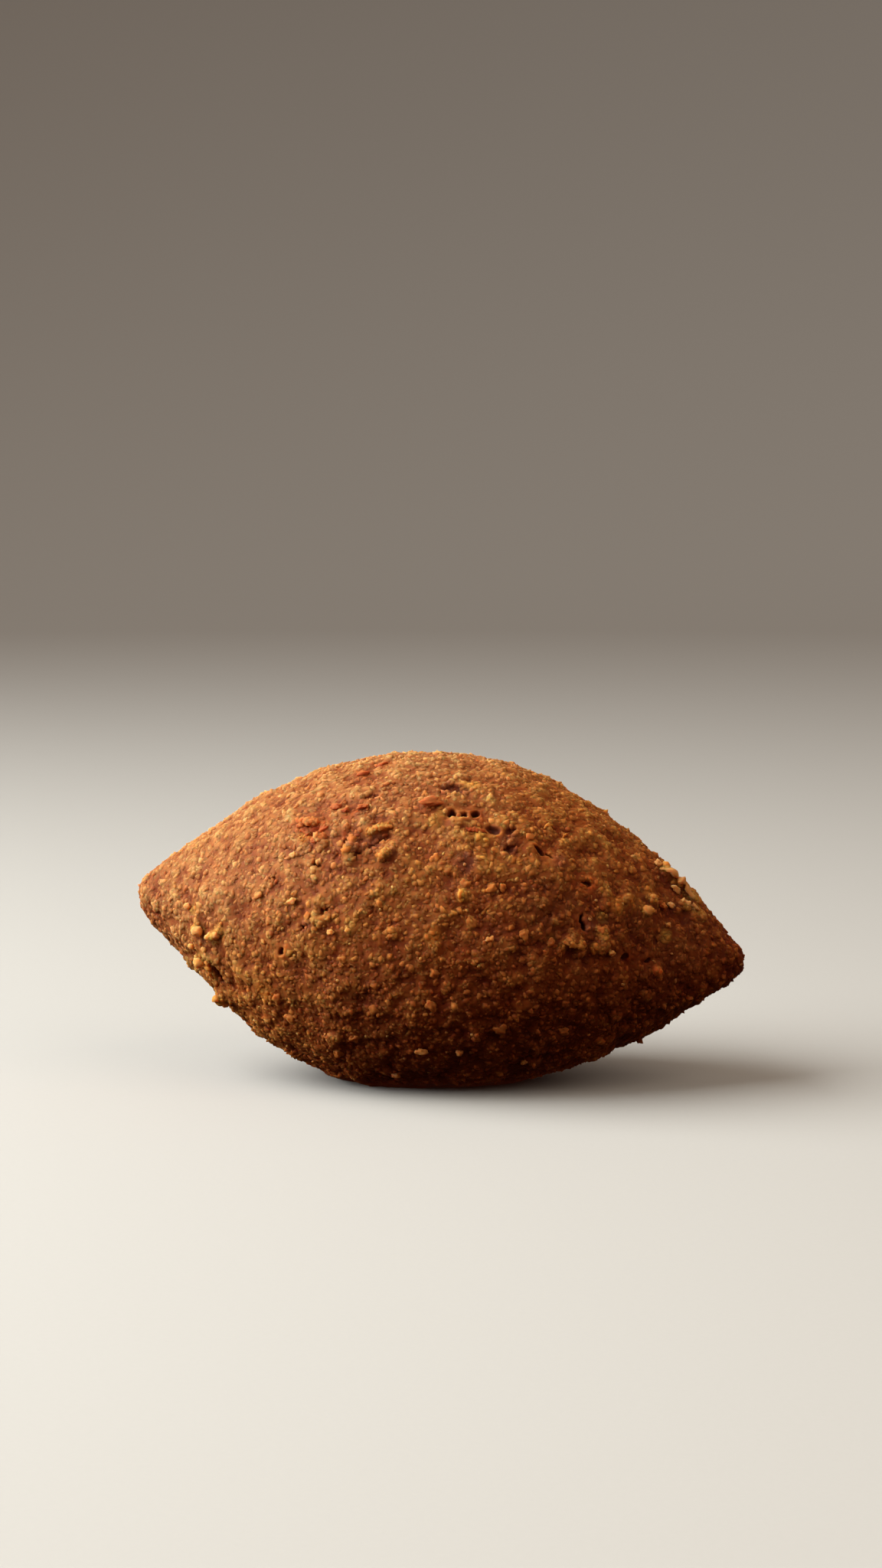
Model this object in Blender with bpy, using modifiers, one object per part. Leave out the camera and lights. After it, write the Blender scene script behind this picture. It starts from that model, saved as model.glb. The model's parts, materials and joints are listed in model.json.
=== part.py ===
"""Meat kibbeh, whole and fried: a pointed oval of minced meat and bulgur, resting on its belly.

The body is turned about its long axis, which lies along X and leans, so that the +X tip is the
lower one. -Y is the front, +Z is up, and the origin is the middle of the small flat resting spot.
A place on the crust is given by "along", the distance from the middle towards the +X tip, and by
"turn", the angle about the long axis, which is 0 at the front, 90 on the crown and 180 behind.
"""

import math
import random

import bpy
from mathutils import Matrix, Vector, noise

MM = 0.001

# The whole form
LENGTH = 100.6 * MM
THICKNESS = 56.6 * MM
TIP_RADIUS = 3.0 * MM
BELLY_POWER = 2.25
SHOULDER_POWER = 1.3
TIP_POWER = 40
LEAN = math.radians(5.5)
FLAT_DEPTH = 1.8 * MM

# The underside settled a little towards the low tip while it was soft
SETTLE_SHARE = 0.10
SETTLE_AT = 18.0 * MM
SETTLE_SPREAD = 22.0 * MM

# The crust's relief
PROFILE_POINTS = 61
TURN_STEPS = 72
CRUST_CELL = 1.2 * MM
SWELL_SIZE = 24.0 * MM
SWELL_HEIGHT = 0.30 * MM
CRAG_SIZE = 7.0 * MM
CRAG_HEIGHT = 0.90 * MM
GRAIN_SIZE = 3.0 * MM
GRAIN_HEIGHT = 0.85 * MM

# Loose-grained crumbs, spread over the crust
CRUMB_COUNT = 150
CRUMB_SIZES = (1.3 * MM, 2.6 * MM)
CRUMB_SUNK = 0.08
CRUMB_SEED = 11
GOLDEN_ANGLE = 137.508

# The joined crust is divided finely once more, and then thinned out where it is calm
FUSED_CELL = 0.5 * MM
MOST_FACES = 10200

HALF_LENGTH = LENGTH / 2
BELLY_RADIUS = THICKNESS / 2

# Crags and flakes that stand out: along and length, width, height in mm, turn and heading in degrees
CRAGS = {
    "strip over the crevice": (-8.0, 40, 5.4, 1.3, 1.6, 30),
    "strip under the crevice": (-6.2, 30, 3.2, 1.5, 1.5, 52),
    "block left of the crevice": (-11.8, 31, 3.0, 2.4, 1.5, 70),
    "red chip by the holes": (-0.6, 51, 3.2, 1.5, 1.2, 8),
    "pale patch right of the holes": (8.0, 41, 3.0, 2.2, 1.2, -20),
    "rim under the holes": (4.8, 46, 4.6, 1.0, 1.0, 0),
    "scar's edge": (-19.5, 43, 4.6, 1.6, 1.2, -25),
    "scar's lower edge": (-17.4, 36, 3.6, 1.4, 1.2, -40),
    "ball at the left tip": (-37.0, -12, 2.2, 1.9, 2.0, 0),
    "second ball at the left tip": (-33.8, -12, 1.9, 1.7, 1.7, 0),
    "crumb under the left tip": (-36.7, -36, 2.0, 1.5, 1.7, 0),
    "crumb by the groove": (-32.4, -56, 2.4, 1.8, 2.4, 30),
    "flake on the ridge": (36.4, 72, 4.0, 2.0, 2.2, -12),
    "flake's middle": (38.6, 71, 3.6, 2.2, 2.3, -20),
    "flake's end": (40.8, 69, 3.4, 1.6, 2.0, -32),
    "flake below it": (40.0, 55, 3.2, 1.3, 1.5, -12),
    "its end": (42.4, 58, 2.6, 1.3, 1.4, -30),
    "yellow grain": (34.8, 33, 2.2, 1.8, 1.5, 35),
    "grain above it": (35.3, 43, 1.7, 1.5, 1.3, 0),
    "yellow block": (28.7, 15, 2.6, 2.0, 1.6, 20),
    "curved ridge": (24.4, 9, 4.4, 1.5, 1.3, -6),
    "curved ridge's end": (28.6, 9, 4.0, 1.4, 1.2, 22),
    "strand below it": (37.0, -5, 3.6, 1.0, 1.1, 80),
    "fibre by the slit": (18.0, 52, 3.8, 1.1, 1.0, -60),
    "second fibre": (20.6, 50, 4.2, 1.1, 1.0, -50),
    "orange crumb": (6.6, 20, 2.2, 1.6, 1.4, -20),
    "crag under the belly": (-12.0, -38, 3.2, 2.0, 1.3, 40),
    "crag low on the front": (10.5, -30, 3.0, 2.0, 1.3, -30),
}

# Pits and cracks: along, turn, length, width, depth and heading, as for the crags
PITS = {
    "first of three holes": (2.9, 49, 1.5, 1.5, 2.4, 0),
    "second hole": (4.8, 49, 1.4, 1.4, 2.2, 0),
    "third hole": (6.6, 50, 1.3, 1.3, 2.0, 0),
    "shallow oval": (2.4, 61, 4.4, 2.0, 0.6, 0),
    "pit right of the pale patch": (9.9, 45, 1.9, 1.6, 1.2, -30),
    "second pit": (12.4, 46, 1.5, 1.9, 1.1, 0),
    "third pit": (12.6, 39, 1.7, 2.3, 1.2, 30),
    "slit": (17.7, 41, 3.6, 1.1, 1.2, -15),
    "dark spot on the crown": (-10.2, 54, 2.0, 1.2, 0.9, 0),
    "crevice": (-7.4, 36, 4.6, 1.2, 1.2, 32),
    "crevice's end": (-10.4, 30, 2.8, 1.3, 1.2, 20),
    "red scar": (-18.9, 40, 5.0, 2.4, 0.8, -20),
    "pit under the scar": (-17.2, 26, 2.4, 1.2, 0.9, 10),
    "dark pit on the left": (-14.7, 10, 1.8, 2.4, 1.3, 0),
    "small pit": (-18.0, 3, 1.2, 1.5, 1.0, 0),
    "deep pit on the left": (-21.3, -7, 1.9, 1.6, 1.4, 0),
    "groove at the left tip": (-33.0, -42, 4.4, 1.3, 1.1, -60),
    "deep red pit": (24.8, 35, 1.9, 1.6, 1.3, 0),
    "upright slit": (25.0, 18, 2.4, 1.0, 1.2, 80),
    "pit under the ridge": (32.3, 3, 2.0, 1.4, 1.3, 10),
    "second pit there": (35.6, 1, 1.8, 1.6, 1.3, 0),
    "crack behind the flake": (36.6, 62, 3.6, 1.2, 1.1, -15),
    "pit behind": (-9.0, 130, 2.6, 1.6, 1.0, 20),
    "second pit behind": (15.5, 152, 2.2, 1.8, 1.1, 50),
    "crack behind": (24.0, 196, 4.2, 1.2, 1.1, -20),
    "third pit behind": (-23.0, 178, 1.9, 1.7, 1.2, 0),
}

ROUGH_MIDDLE = (14.0 * MM, 42.0)
ROUGH_REACH = (34.0 * MM, 40.0)
ROUGH_BEHIND = (-4.0 * MM, 165.0)
SMOOTHEST = 0.45


def clear_scene():
    """Removes every object of the startup scene."""
    for obj in list(bpy.data.objects):
        bpy.data.objects.remove(obj, do_unlink=True)


def new_collection(name):
    """Adds a collection to the scene."""
    collection = bpy.data.collections.new(name)
    bpy.context.scene.collection.children.link(collection)
    return collection


def radius_at(along):
    """Radius of the smooth body at this distance along its axis."""
    reach = min(abs(along) / HALF_LENGTH, 1.0)
    body = (BELLY_RADIUS - TIP_RADIUS) * (1 - reach**BELLY_POWER) ** SHOULDER_POWER
    blunt_tip = TIP_RADIUS * math.sqrt(1 - reach**TIP_POWER)
    return body + blunt_tip


def settled(point):
    """A point of the turned body, moved up where the underside has settled."""
    if point.z >= 0:
        return point
    nearness = math.exp(-(((point.x - SETTLE_AT) / SETTLE_SPREAD) ** 2))
    return Vector((point.x, point.y, point.z * (1 - SETTLE_SHARE * nearness)))


def on_crust(along, turn):
    """The place on the smooth crust at this distance along and this turn in degrees."""
    angle = math.radians(turn)
    radius = radius_at(along)
    point = Vector((along, -radius * math.cos(angle), radius * math.sin(angle)))
    return settled(point)


def frame_on_crust(along, turn, heading=0.0):
    """A frame there: X runs along the crust at this heading, Z points straight out of it."""
    step = 0.2 * MM
    middle = on_crust(along, turn)
    forward = (on_crust(along + step, turn) - on_crust(along - step, turn)).normalized()
    around = (on_crust(along, turn + 1) - on_crust(along, turn - 1)).normalized()
    out = forward.cross(around).normalized()
    if out.dot(Vector((0, middle.y, middle.z))) < 0:
        out.negate()
    side = out.cross(forward)
    turned = Matrix((forward, side, out)).transposed().to_4x4()
    place = Matrix.Translation(middle + out * relief_at(middle))
    return place @ turned @ Matrix.Rotation(math.radians(heading), 4, "Z")


def bump(distance):
    """Falls smoothly from 1 in the middle of a patch to 0 at its edge."""
    return max(0.0, 1 - distance * distance) ** 2


def roughness_at(point):
    """How broken the crust is: full on two patches, and calm near the tips and below."""
    turn = math.degrees(math.atan2(point.z, -point.y))
    found = SMOOTHEST
    for middle_along, middle_turn in (ROUGH_MIDDLE, ROUGH_BEHIND):
        away = (turn - middle_turn + 180) % 360 - 180
        distance = math.hypot((point.x - middle_along) / ROUGH_REACH[0], away / ROUGH_REACH[1])
        found = max(found, SMOOTHEST + (1 - SMOOTHEST) * bump(distance))
    return found


def relief_at(point):
    """Height of the crust over the smooth body: a slow swell, crags and round-topped grains."""
    swell = noise.noise(point / SWELL_SIZE)
    crags = noise.fractal(point / CRAG_SIZE, 0.9, 2.1, 3)
    nearest_grain = noise.voronoi(point / GRAIN_SIZE)[0][0]
    rough = roughness_at(point)
    grain = 0.5 - nearest_grain
    return SWELL_HEIGHT * swell + rough * (CRAG_HEIGHT * crags + GRAIN_HEIGHT * grain)


def turned_body(collection):
    """The plain body: half its outline, turned about Z and divided into even cells."""
    angles = [math.pi * step / (PROFILE_POINTS - 1) for step in range(PROFILE_POINTS)]
    heights = [HALF_LENGTH * math.cos(angle) for angle in angles]
    outline = [(radius_at(height), 0.0, height) for height in heights]
    edges = [(row, row + 1) for row in range(PROFILE_POINTS - 1)]
    mesh = bpy.data.meshes.new("kibbeh outline")
    mesh.from_pydata(outline, edges, [])
    body = bpy.data.objects.new("kibbeh outline", mesh)
    collection.objects.link(body)

    screw = body.modifiers.new("Turn", "SCREW")
    screw.steps = TURN_STEPS
    screw.render_steps = TURN_STEPS
    screw.use_merge_vertices = True
    screw.merge_threshold = 0.0001
    remesh = body.modifiers.new("Even cells", "REMESH")
    remesh.mode = "VOXEL"
    remesh.voxel_size = CRUST_CELL
    return body


def finished_mesh(obj, name):
    """The object's mesh with its modifiers applied."""
    graph = bpy.context.evaluated_depsgraph_get()
    mesh = bpy.data.meshes.new_from_object(obj.evaluated_get(graph))
    mesh.name = name
    return mesh


def make_crust(collection):
    """The body laid along X, settled and given its relief."""
    body = turned_body(collection)
    mesh = finished_mesh(body, "kibbeh")
    bpy.data.objects.remove(body, do_unlink=True)
    mesh.transform(Matrix.Rotation(math.radians(90), 4, "Y"))
    normals = [vertex.normal.copy() for vertex in mesh.vertices]
    for vertex, normal in zip(mesh.vertices, normals):
        vertex.co = settled(vertex.co) + normal * relief_at(vertex.co)
    mesh.update()
    crust = bpy.data.objects.new("kibbeh", mesh)
    collection.objects.link(crust)
    return crust


def add_lump(collection, name, place, size, detail=1):
    """A rough lump of this length, width and height, with its middle at the frame's origin."""
    bpy.ops.mesh.primitive_ico_sphere_add(subdivisions=detail, radius=0.5)
    lump = bpy.context.active_object
    lump.name = name
    for owner in list(lump.users_collection):
        owner.objects.unlink(lump)
    collection.objects.link(lump)
    for vertex in lump.data.vertices:
        uneven = 1 + 0.28 * noise.noise(vertex.co * 2.3 + place.translation / (5 * MM))
        vertex.co = vertex.co * uneven
    lump.data.transform(Matrix.Diagonal((*size, 1.0)))
    lump.data.transform(place)
    return lump


def add_crags(collection):
    """The crags and flakes that stand out of the crust, each sunk into it by a third."""
    for name, (along, turn, length, width, height, heading) in CRAGS.items():
        place = frame_on_crust(along * MM, turn, heading)
        sunk = Matrix.Translation((0, 0, 0.15 * height * MM))
        size = (length * MM, width * MM, 1.5 * height * MM)
        add_lump(collection, name, place @ sunk, size, detail=2 if length > 3 else 1)


def add_crumbs(collection):
    """Crumbs of many sizes, spread evenly by the golden angle and then shaken."""
    draw = random.Random(CRUMB_SEED)
    for number in range(CRUMB_COUNT):
        share = (number + 0.5) / CRUMB_COUNT
        along = 0.94 * HALF_LENGTH * math.sin(math.asin(2 * share - 1) * 0.92)
        turn = number * GOLDEN_ANGLE + draw.uniform(-14, 14)
        along += draw.uniform(-2.5, 2.5) * MM
        length = draw.uniform(*CRUMB_SIZES)
        width = length * draw.uniform(0.6, 0.95)
        height = length * draw.uniform(0.6, 0.85)
        place = frame_on_crust(along, turn, draw.uniform(0, 180))
        sunk = Matrix.Translation((0, 0, -CRUMB_SUNK * height))
        add_lump(collection, f"crumb {number + 1}", place @ sunk, (length, width, height))


def add_pits(collection):
    """Cutters for the pits and cracks, each centred on the crust."""
    for name, (along, turn, length, width, depth, heading) in PITS.items():
        place = frame_on_crust(along * MM, turn, heading)
        size = (length * MM, width * MM, 2 * depth * MM)
        add_lump(collection, name, place, size, detail=2 if length > 3 else 1)


def join_or_cut(body, operation, collection):
    """Joins a collection's objects to the body, or cuts them from it, and removes them."""
    boolean = body.modifiers.new(collection.name, "BOOLEAN")
    boolean.operation = operation
    boolean.operand_type = "COLLECTION"
    boolean.collection = collection
    boolean.solver = "EXACT"
    mesh = finished_mesh(body, "kibbeh")
    body.modifiers.clear()
    body.data = mesh
    for obj in list(collection.objects):
        bpy.data.objects.remove(obj, do_unlink=True)
    bpy.data.collections.remove(collection)


def fuse(body):
    """Makes one even skin of the joined crust, and merges the faces that add least to its form."""
    remesh = body.modifiers.new("One skin", "REMESH")
    remesh.mode = "VOXEL"
    remesh.voxel_size = FUSED_CELL
    body.data = finished_mesh(body, "kibbeh")
    body.modifiers.clear()

    body.data.calc_loop_triangles()
    decimate = body.modifiers.new("Fewer faces", "DECIMATE")
    decimate.ratio = MOST_FACES / len(body.data.loop_triangles)
    body.data = finished_mesh(body, "kibbeh")
    body.modifiers.clear()


def add_ground_cutter(collection):
    """A block whose top is the plane of the resting spot."""
    side = 2 * LENGTH
    bpy.ops.mesh.primitive_cube_add(size=side, location=(0, 0, -side / 2))
    block = bpy.context.active_object
    block.name = "ground"
    for owner in list(block.users_collection):
        owner.objects.unlink(block)
    collection.objects.link(block)
    block.hide_render = True
    block.display_type = "WIRE"
    return block


def resting_place():
    """How far the leaning body is moved for its resting spot to lie on the origin."""
    lean = Matrix.Rotation(LEAN, 4, "Y")
    rows = [HALF_LENGTH * step / 400 for step in range(-400, 401)]
    underside = [lean @ on_crust(row, -90) for row in rows]
    lowest = min(point.z for point in underside)
    spot = [point.x for point in underside if point.z < lowest + FLAT_DEPTH]
    return Vector((-(min(spot) + max(spot)) / 2, 0, -lowest - FLAT_DEPTH))


def crust_material():
    """Deep-fried, browned crust."""
    material = bpy.data.materials.new("fried crust")
    material.use_nodes = True
    shader = material.node_tree.nodes["Principled BSDF"]
    shader.inputs["Base Color"].default_value = (0.34, 0.118, 0.036, 1.0)
    shader.inputs["Roughness"].default_value = 0.62
    shader.inputs["Metallic"].default_value = 0.0
    return material


def make_kibbeh():
    """The kibbeh, leaning on its resting spot."""
    parts = new_collection("meat kibbeh")
    cutters = new_collection("cutters")
    kibbeh = make_crust(parts)

    lumps = new_collection("lumps")
    add_crags(lumps)
    add_crumbs(lumps)
    join_or_cut(kibbeh, "UNION", lumps)
    fuse(kibbeh)

    pits = new_collection("pits")
    add_pits(pits)
    join_or_cut(kibbeh, "DIFFERENCE", pits)

    kibbeh.rotation_euler = (0, LEAN, 0)
    kibbeh.location = resting_place()
    flat = kibbeh.modifiers.new("Resting spot", "BOOLEAN")
    flat.operation = "DIFFERENCE"
    flat.object = add_ground_cutter(cutters)
    flat.solver = "EXACT"
    kibbeh.data.materials.clear()
    kibbeh.data.materials.append(crust_material())
    return kibbeh


clear_scene()
make_kibbeh()
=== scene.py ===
"""Looks of a whole fried meat kibbeh: a grainy browned crust with bulgur grains, crumbs and shreds.

The kibbeh lies along X and leans, with its lower tip towards +X; -Y is the front and +Z is up. A
place on the crust is given as on the part itself: "along" is the distance in millimetres from the
body's middle towards the +X tip, and "turn" is the angle about the long axis in degrees, which is
0 at the front, 90 on the crown and 180 behind.
"""

import json
import logging
import math
from dataclasses import dataclass, field
from enum import Enum
from typing import Sequence

import bmesh
import bpy
import numpy as np
from mathutils import Matrix, Vector, noise
from mathutils.bvhtree import BVHTree

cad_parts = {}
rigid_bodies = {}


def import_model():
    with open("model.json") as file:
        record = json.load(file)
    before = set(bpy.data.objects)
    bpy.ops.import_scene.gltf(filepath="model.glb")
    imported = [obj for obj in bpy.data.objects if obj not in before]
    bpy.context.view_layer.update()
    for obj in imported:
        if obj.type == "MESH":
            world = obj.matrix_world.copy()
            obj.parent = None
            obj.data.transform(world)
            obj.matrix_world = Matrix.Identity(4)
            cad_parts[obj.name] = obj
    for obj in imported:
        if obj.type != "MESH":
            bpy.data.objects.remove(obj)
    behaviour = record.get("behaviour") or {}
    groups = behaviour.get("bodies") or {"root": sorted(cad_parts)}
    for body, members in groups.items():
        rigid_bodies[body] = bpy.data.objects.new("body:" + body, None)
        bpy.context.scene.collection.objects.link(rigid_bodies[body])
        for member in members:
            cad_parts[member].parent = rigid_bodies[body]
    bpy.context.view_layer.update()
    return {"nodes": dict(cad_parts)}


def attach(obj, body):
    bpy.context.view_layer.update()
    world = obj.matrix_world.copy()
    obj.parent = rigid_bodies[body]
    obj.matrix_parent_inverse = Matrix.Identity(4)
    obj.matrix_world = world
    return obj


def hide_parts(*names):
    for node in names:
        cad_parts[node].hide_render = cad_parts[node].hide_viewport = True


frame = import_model()

log = logging.getLogger("kibbeh")

MM = 0.001
NODE = "kibbeh"
BODY = "root"

# The body's long axis, as on the part
BODY_MIDDLE = Vector((1.58 * MM, 0.0, 24.93 * MM))
LEAN = math.radians(5.5)
LONG_AXIS = Matrix.Rotation(LEAN, 3, "Y") @ Vector((1, 0, 0))
BELLY_RADIUS = 28.3 * MM
OUTSIDE = BELLY_RADIUS + 10 * MM

# How many mm a place stands above its neighbours where it is darkest, and where it is lightest: painted
# shade in the gaps and painted light on the crags
RISE_SPAN = (-0.32, 0.90)
# How far red, green and blue light go into the food, as shares of the depth
LIGHT_REACH = (1.0, 0.5, 0.3)
# Brings the usual values of the noise to between -1 and 1
NOISE_GAIN = 1.8
# Each layer of a layered noise is this many times finer than the one before
FINER = 2.0
# Without a seed of its own, the vector noise would be another in each run
NOISE_SEED = 7
PATCH_NAMES = ("meat", "red", "orange", "golden")

Colour = tuple[float, float, float]
Stops = tuple[tuple[float, Colour], ...]
Span = tuple[float, float]


class Value:
    """A shader socket's value, on which Python's operators add Math nodes."""

    def __init__(self, recipe: "Recipe", socket: bpy.types.NodeSocket) -> None:
        """Wraps a socket.

        Args:
            recipe: The material that the socket belongs to.
            socket: The output socket that holds the value.
        """
        self.recipe = recipe
        self.socket = socket

    def __add__(self, other: "Value | float") -> "Value":
        """The sum."""
        return self.recipe.maths("ADD", self, other)

    def __radd__(self, other: float) -> "Value":
        """The sum, with the number first."""
        return self.recipe.maths("ADD", other, self)

    def __sub__(self, other: "Value | float") -> "Value":
        """The difference."""
        return self.recipe.maths("SUBTRACT", self, other)

    def __rsub__(self, other: float) -> "Value":
        """The number less the value."""
        return self.recipe.maths("SUBTRACT", other, self)

    def __mul__(self, other: "Value | float") -> "Value":
        """The product."""
        return self.recipe.maths("MULTIPLY", self, other)

    def __rmul__(self, other: float) -> "Value":
        """The product, with the number first."""
        return self.recipe.maths("MULTIPLY", other, self)

    def clamped(self) -> "Value":
        """The value, kept between 0 and 1."""
        return self.recipe.maths("ADD", self, 0.0, clamp=True)


class Recipe:
    """A node material while it is put together."""

    def __init__(self, name: str) -> None:
        """Starts a material with its shader.

        Args:
            name: The material's name.
        """
        self.material = bpy.data.materials.new(name)
        self.material.use_nodes = True
        self.tree = self.material.node_tree
        self.shader = self.tree.nodes["Principled BSDF"]
        self.place = self.node("ShaderNodeTexCoord", {}, {}).outputs["Object"]

    def node(self, kind: str, settings: dict, inputs: dict) -> bpy.types.Node:
        """Adds any node.

        Args:
            kind: The node's type.
            settings: Its properties by name; "stops" are a ramp's (position, colour) pairs.
            inputs: Its sockets by name or number: a Value, a socket, a number or a colour.

        Returns:
            The new node.
        """
        made = self.tree.nodes.new(kind)
        for name, setting in settings.items():
            if name == "stops":
                self._set_stops(made.color_ramp, setting)
            else:
                setattr(made, name, setting)
        for name, given in inputs.items():
            self.feed(made.inputs[name], given)
        return made

    def _set_stops(self, ramp: bpy.types.ColorRamp, stops: Stops) -> None:
        """Gives a ramp its stops.

        Args:
            ramp: The ramp, which starts with two stops.
            stops: Positions from 0 to 1 with their colours, in order.
        """
        while len(ramp.elements) < len(stops):
            ramp.elements.new(1.0)
        for element, (position, colour) in zip(ramp.elements, stops):
            element.position = position
            element.color = (*colour, 1.0)

    def feed(self, socket: bpy.types.NodeSocket, given: object) -> None:
        """Sets a socket or links something to it.

        Args:
            socket: The input socket.
            given: A Value, an output socket, a number or a colour.
        """
        if isinstance(given, Value):
            self.tree.links.new(given.socket, socket)
        elif isinstance(given, bpy.types.NodeSocket):
            self.tree.links.new(given, socket)
        elif isinstance(given, tuple) and len(given) == 3 and socket.type == "RGBA":
            socket.default_value = (*given, 1.0)
        else:
            socket.default_value = given

    def maths(self, operation: str, first: object, second: object, clamp: bool = False) -> Value:
        """One Math node.

        Args:
            operation: The node's operation.
            first: Its first value.
            second: Its second value.
            clamp: Whether the result is kept between 0 and 1.

        Returns:
            The result.
        """
        settings = {"operation": operation, "use_clamp": clamp}
        return Value(self, self.node("ShaderNodeMath", settings, {0: first, 1: second}).outputs[0])

    def mix(self, share: "Value | float", first: object, second: object, blend: str = "MIX") -> Value:
        """A mix of two colours.

        Args:
            share: How much of the second colour, from 0 to 1.
            first: The first colour.
            second: The second colour.
            blend: The way of mixing.

        Returns:
            The mixed colour.
        """
        settings = {"data_type": "RGBA", "blend_type": blend}
        made = self.node("ShaderNodeMix", settings, {0: share, 6: first, 7: second})
        return Value(self, made.outputs[2])

    def attribute(self, name: str) -> Value:
        """A number stored on the piece's points."""
        made = self.node("ShaderNodeAttribute", {"attribute_name": name}, {})
        return Value(self, made.outputs["Fac"])

    def rise(self) -> Value:
        """How high a place stands among its neighbours, 0 in the gaps to 1 on crags, for painted gap
        shade.
        """
        return self.stretched(self.attribute("rise"), *RISE_SPAN)

    def cloud(self, size_mm: float, detail: float = 2.0, rough: float = 0.5, seed: float = 0.0) -> Value:
        """Soft noise through space.

        Args:
            size_mm: The size of its blotches, in millimetres.
            detail: How many finer layers it has.
            rough: How strong those are.
            seed: Its place in the fourth dimension.

        Returns:
            A value from 0 to 1, mostly close to a half.
        """
        inputs = {"Vector": self.place, "W": seed, "Scale": 1 / (size_mm * MM), "Detail": detail}
        inputs["Roughness"] = rough
        made = self.node("ShaderNodeTexNoise", {"noise_dimensions": "4D"}, inputs)
        return Value(self, made.outputs["Fac"])

    def grains(self, size_mm: float) -> tuple[Value, Value]:
        """Cells through space, one for each grain.

        Args:
            size_mm: The size of a grain, in millimetres.

        Returns:
            The distance from the grain's middle in its sizes, and a chance value for each grain.
        """
        inputs = {"Vector": self.place, "Scale": 1 / (size_mm * MM)}
        made = self.node("ShaderNodeTexVoronoi", {"voronoi_dimensions": "4D"}, inputs)
        split = self.node("ShaderNodeSeparateColor", {}, {0: made.outputs["Color"]})
        return Value(self, made.outputs["Distance"]), Value(self, split.outputs[0])

    def stretched(self, value: Value, low: float, high: float) -> Value:
        """Stretches a value and keeps it between 0 and 1.

        Args:
            value: The value.
            low: What becomes 0.
            high: What becomes 1.

        Returns:
            The stretched value.
        """
        inputs = {"Value": value, "From Min": low, "From Max": high}
        made = self.node("ShaderNodeMapRange", {"clamp": True}, inputs)
        return Value(self, made.outputs[0])

    def ramp(self, value: Value, stops: Stops) -> Value:
        """A colour by a value from 0 to 1."""
        made = self.node("ShaderNodeValToRGB", {"stops": stops}, {0: value})
        return Value(self, made.outputs["Color"])

    def surface(self, colour: Value, roughness: "Value | float", gloss: float) -> None:
        """Gives the shader its colour and sheen.

        Args:
            colour: The surface's colour.
            roughness: Its roughness.
            gloss: How strongly it reflects, the same all over.
        """
        self.feed(self.shader.inputs["Base Color"], colour)
        self.feed(self.shader.inputs["Roughness"], roughness)
        self.feed(self.shader.inputs["Specular IOR Level"], gloss)

    def soften(self, depth_mm: float) -> None:
        """Lets light into the surface, as cooked food does, redder the deeper it goes.

        Args:
            depth_mm: How deep the red light goes, in millimetres.
        """
        self.feed(self.shader.inputs["Subsurface Weight"], 1.0)
        self.feed(self.shader.inputs["Subsurface Radius"], LIGHT_REACH)
        self.feed(self.shader.inputs["Subsurface Scale"], depth_mm * MM)

    def relief(self, height: Value, depth_mm: float, strength: float) -> None:
        """Feeds a bump to the shader's normal.

        Args:
            height: The height, from 0 to 1.
            depth_mm: The height that 1 stands for, in millimetres.
            strength: How strongly it shows.
        """
        inputs = {"Height": height, "Distance": depth_mm * MM, "Strength": strength}
        bump = self.node("ShaderNodeBump", {}, inputs)
        self.feed(self.shader.inputs["Normal"], bump.outputs["Normal"])


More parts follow.
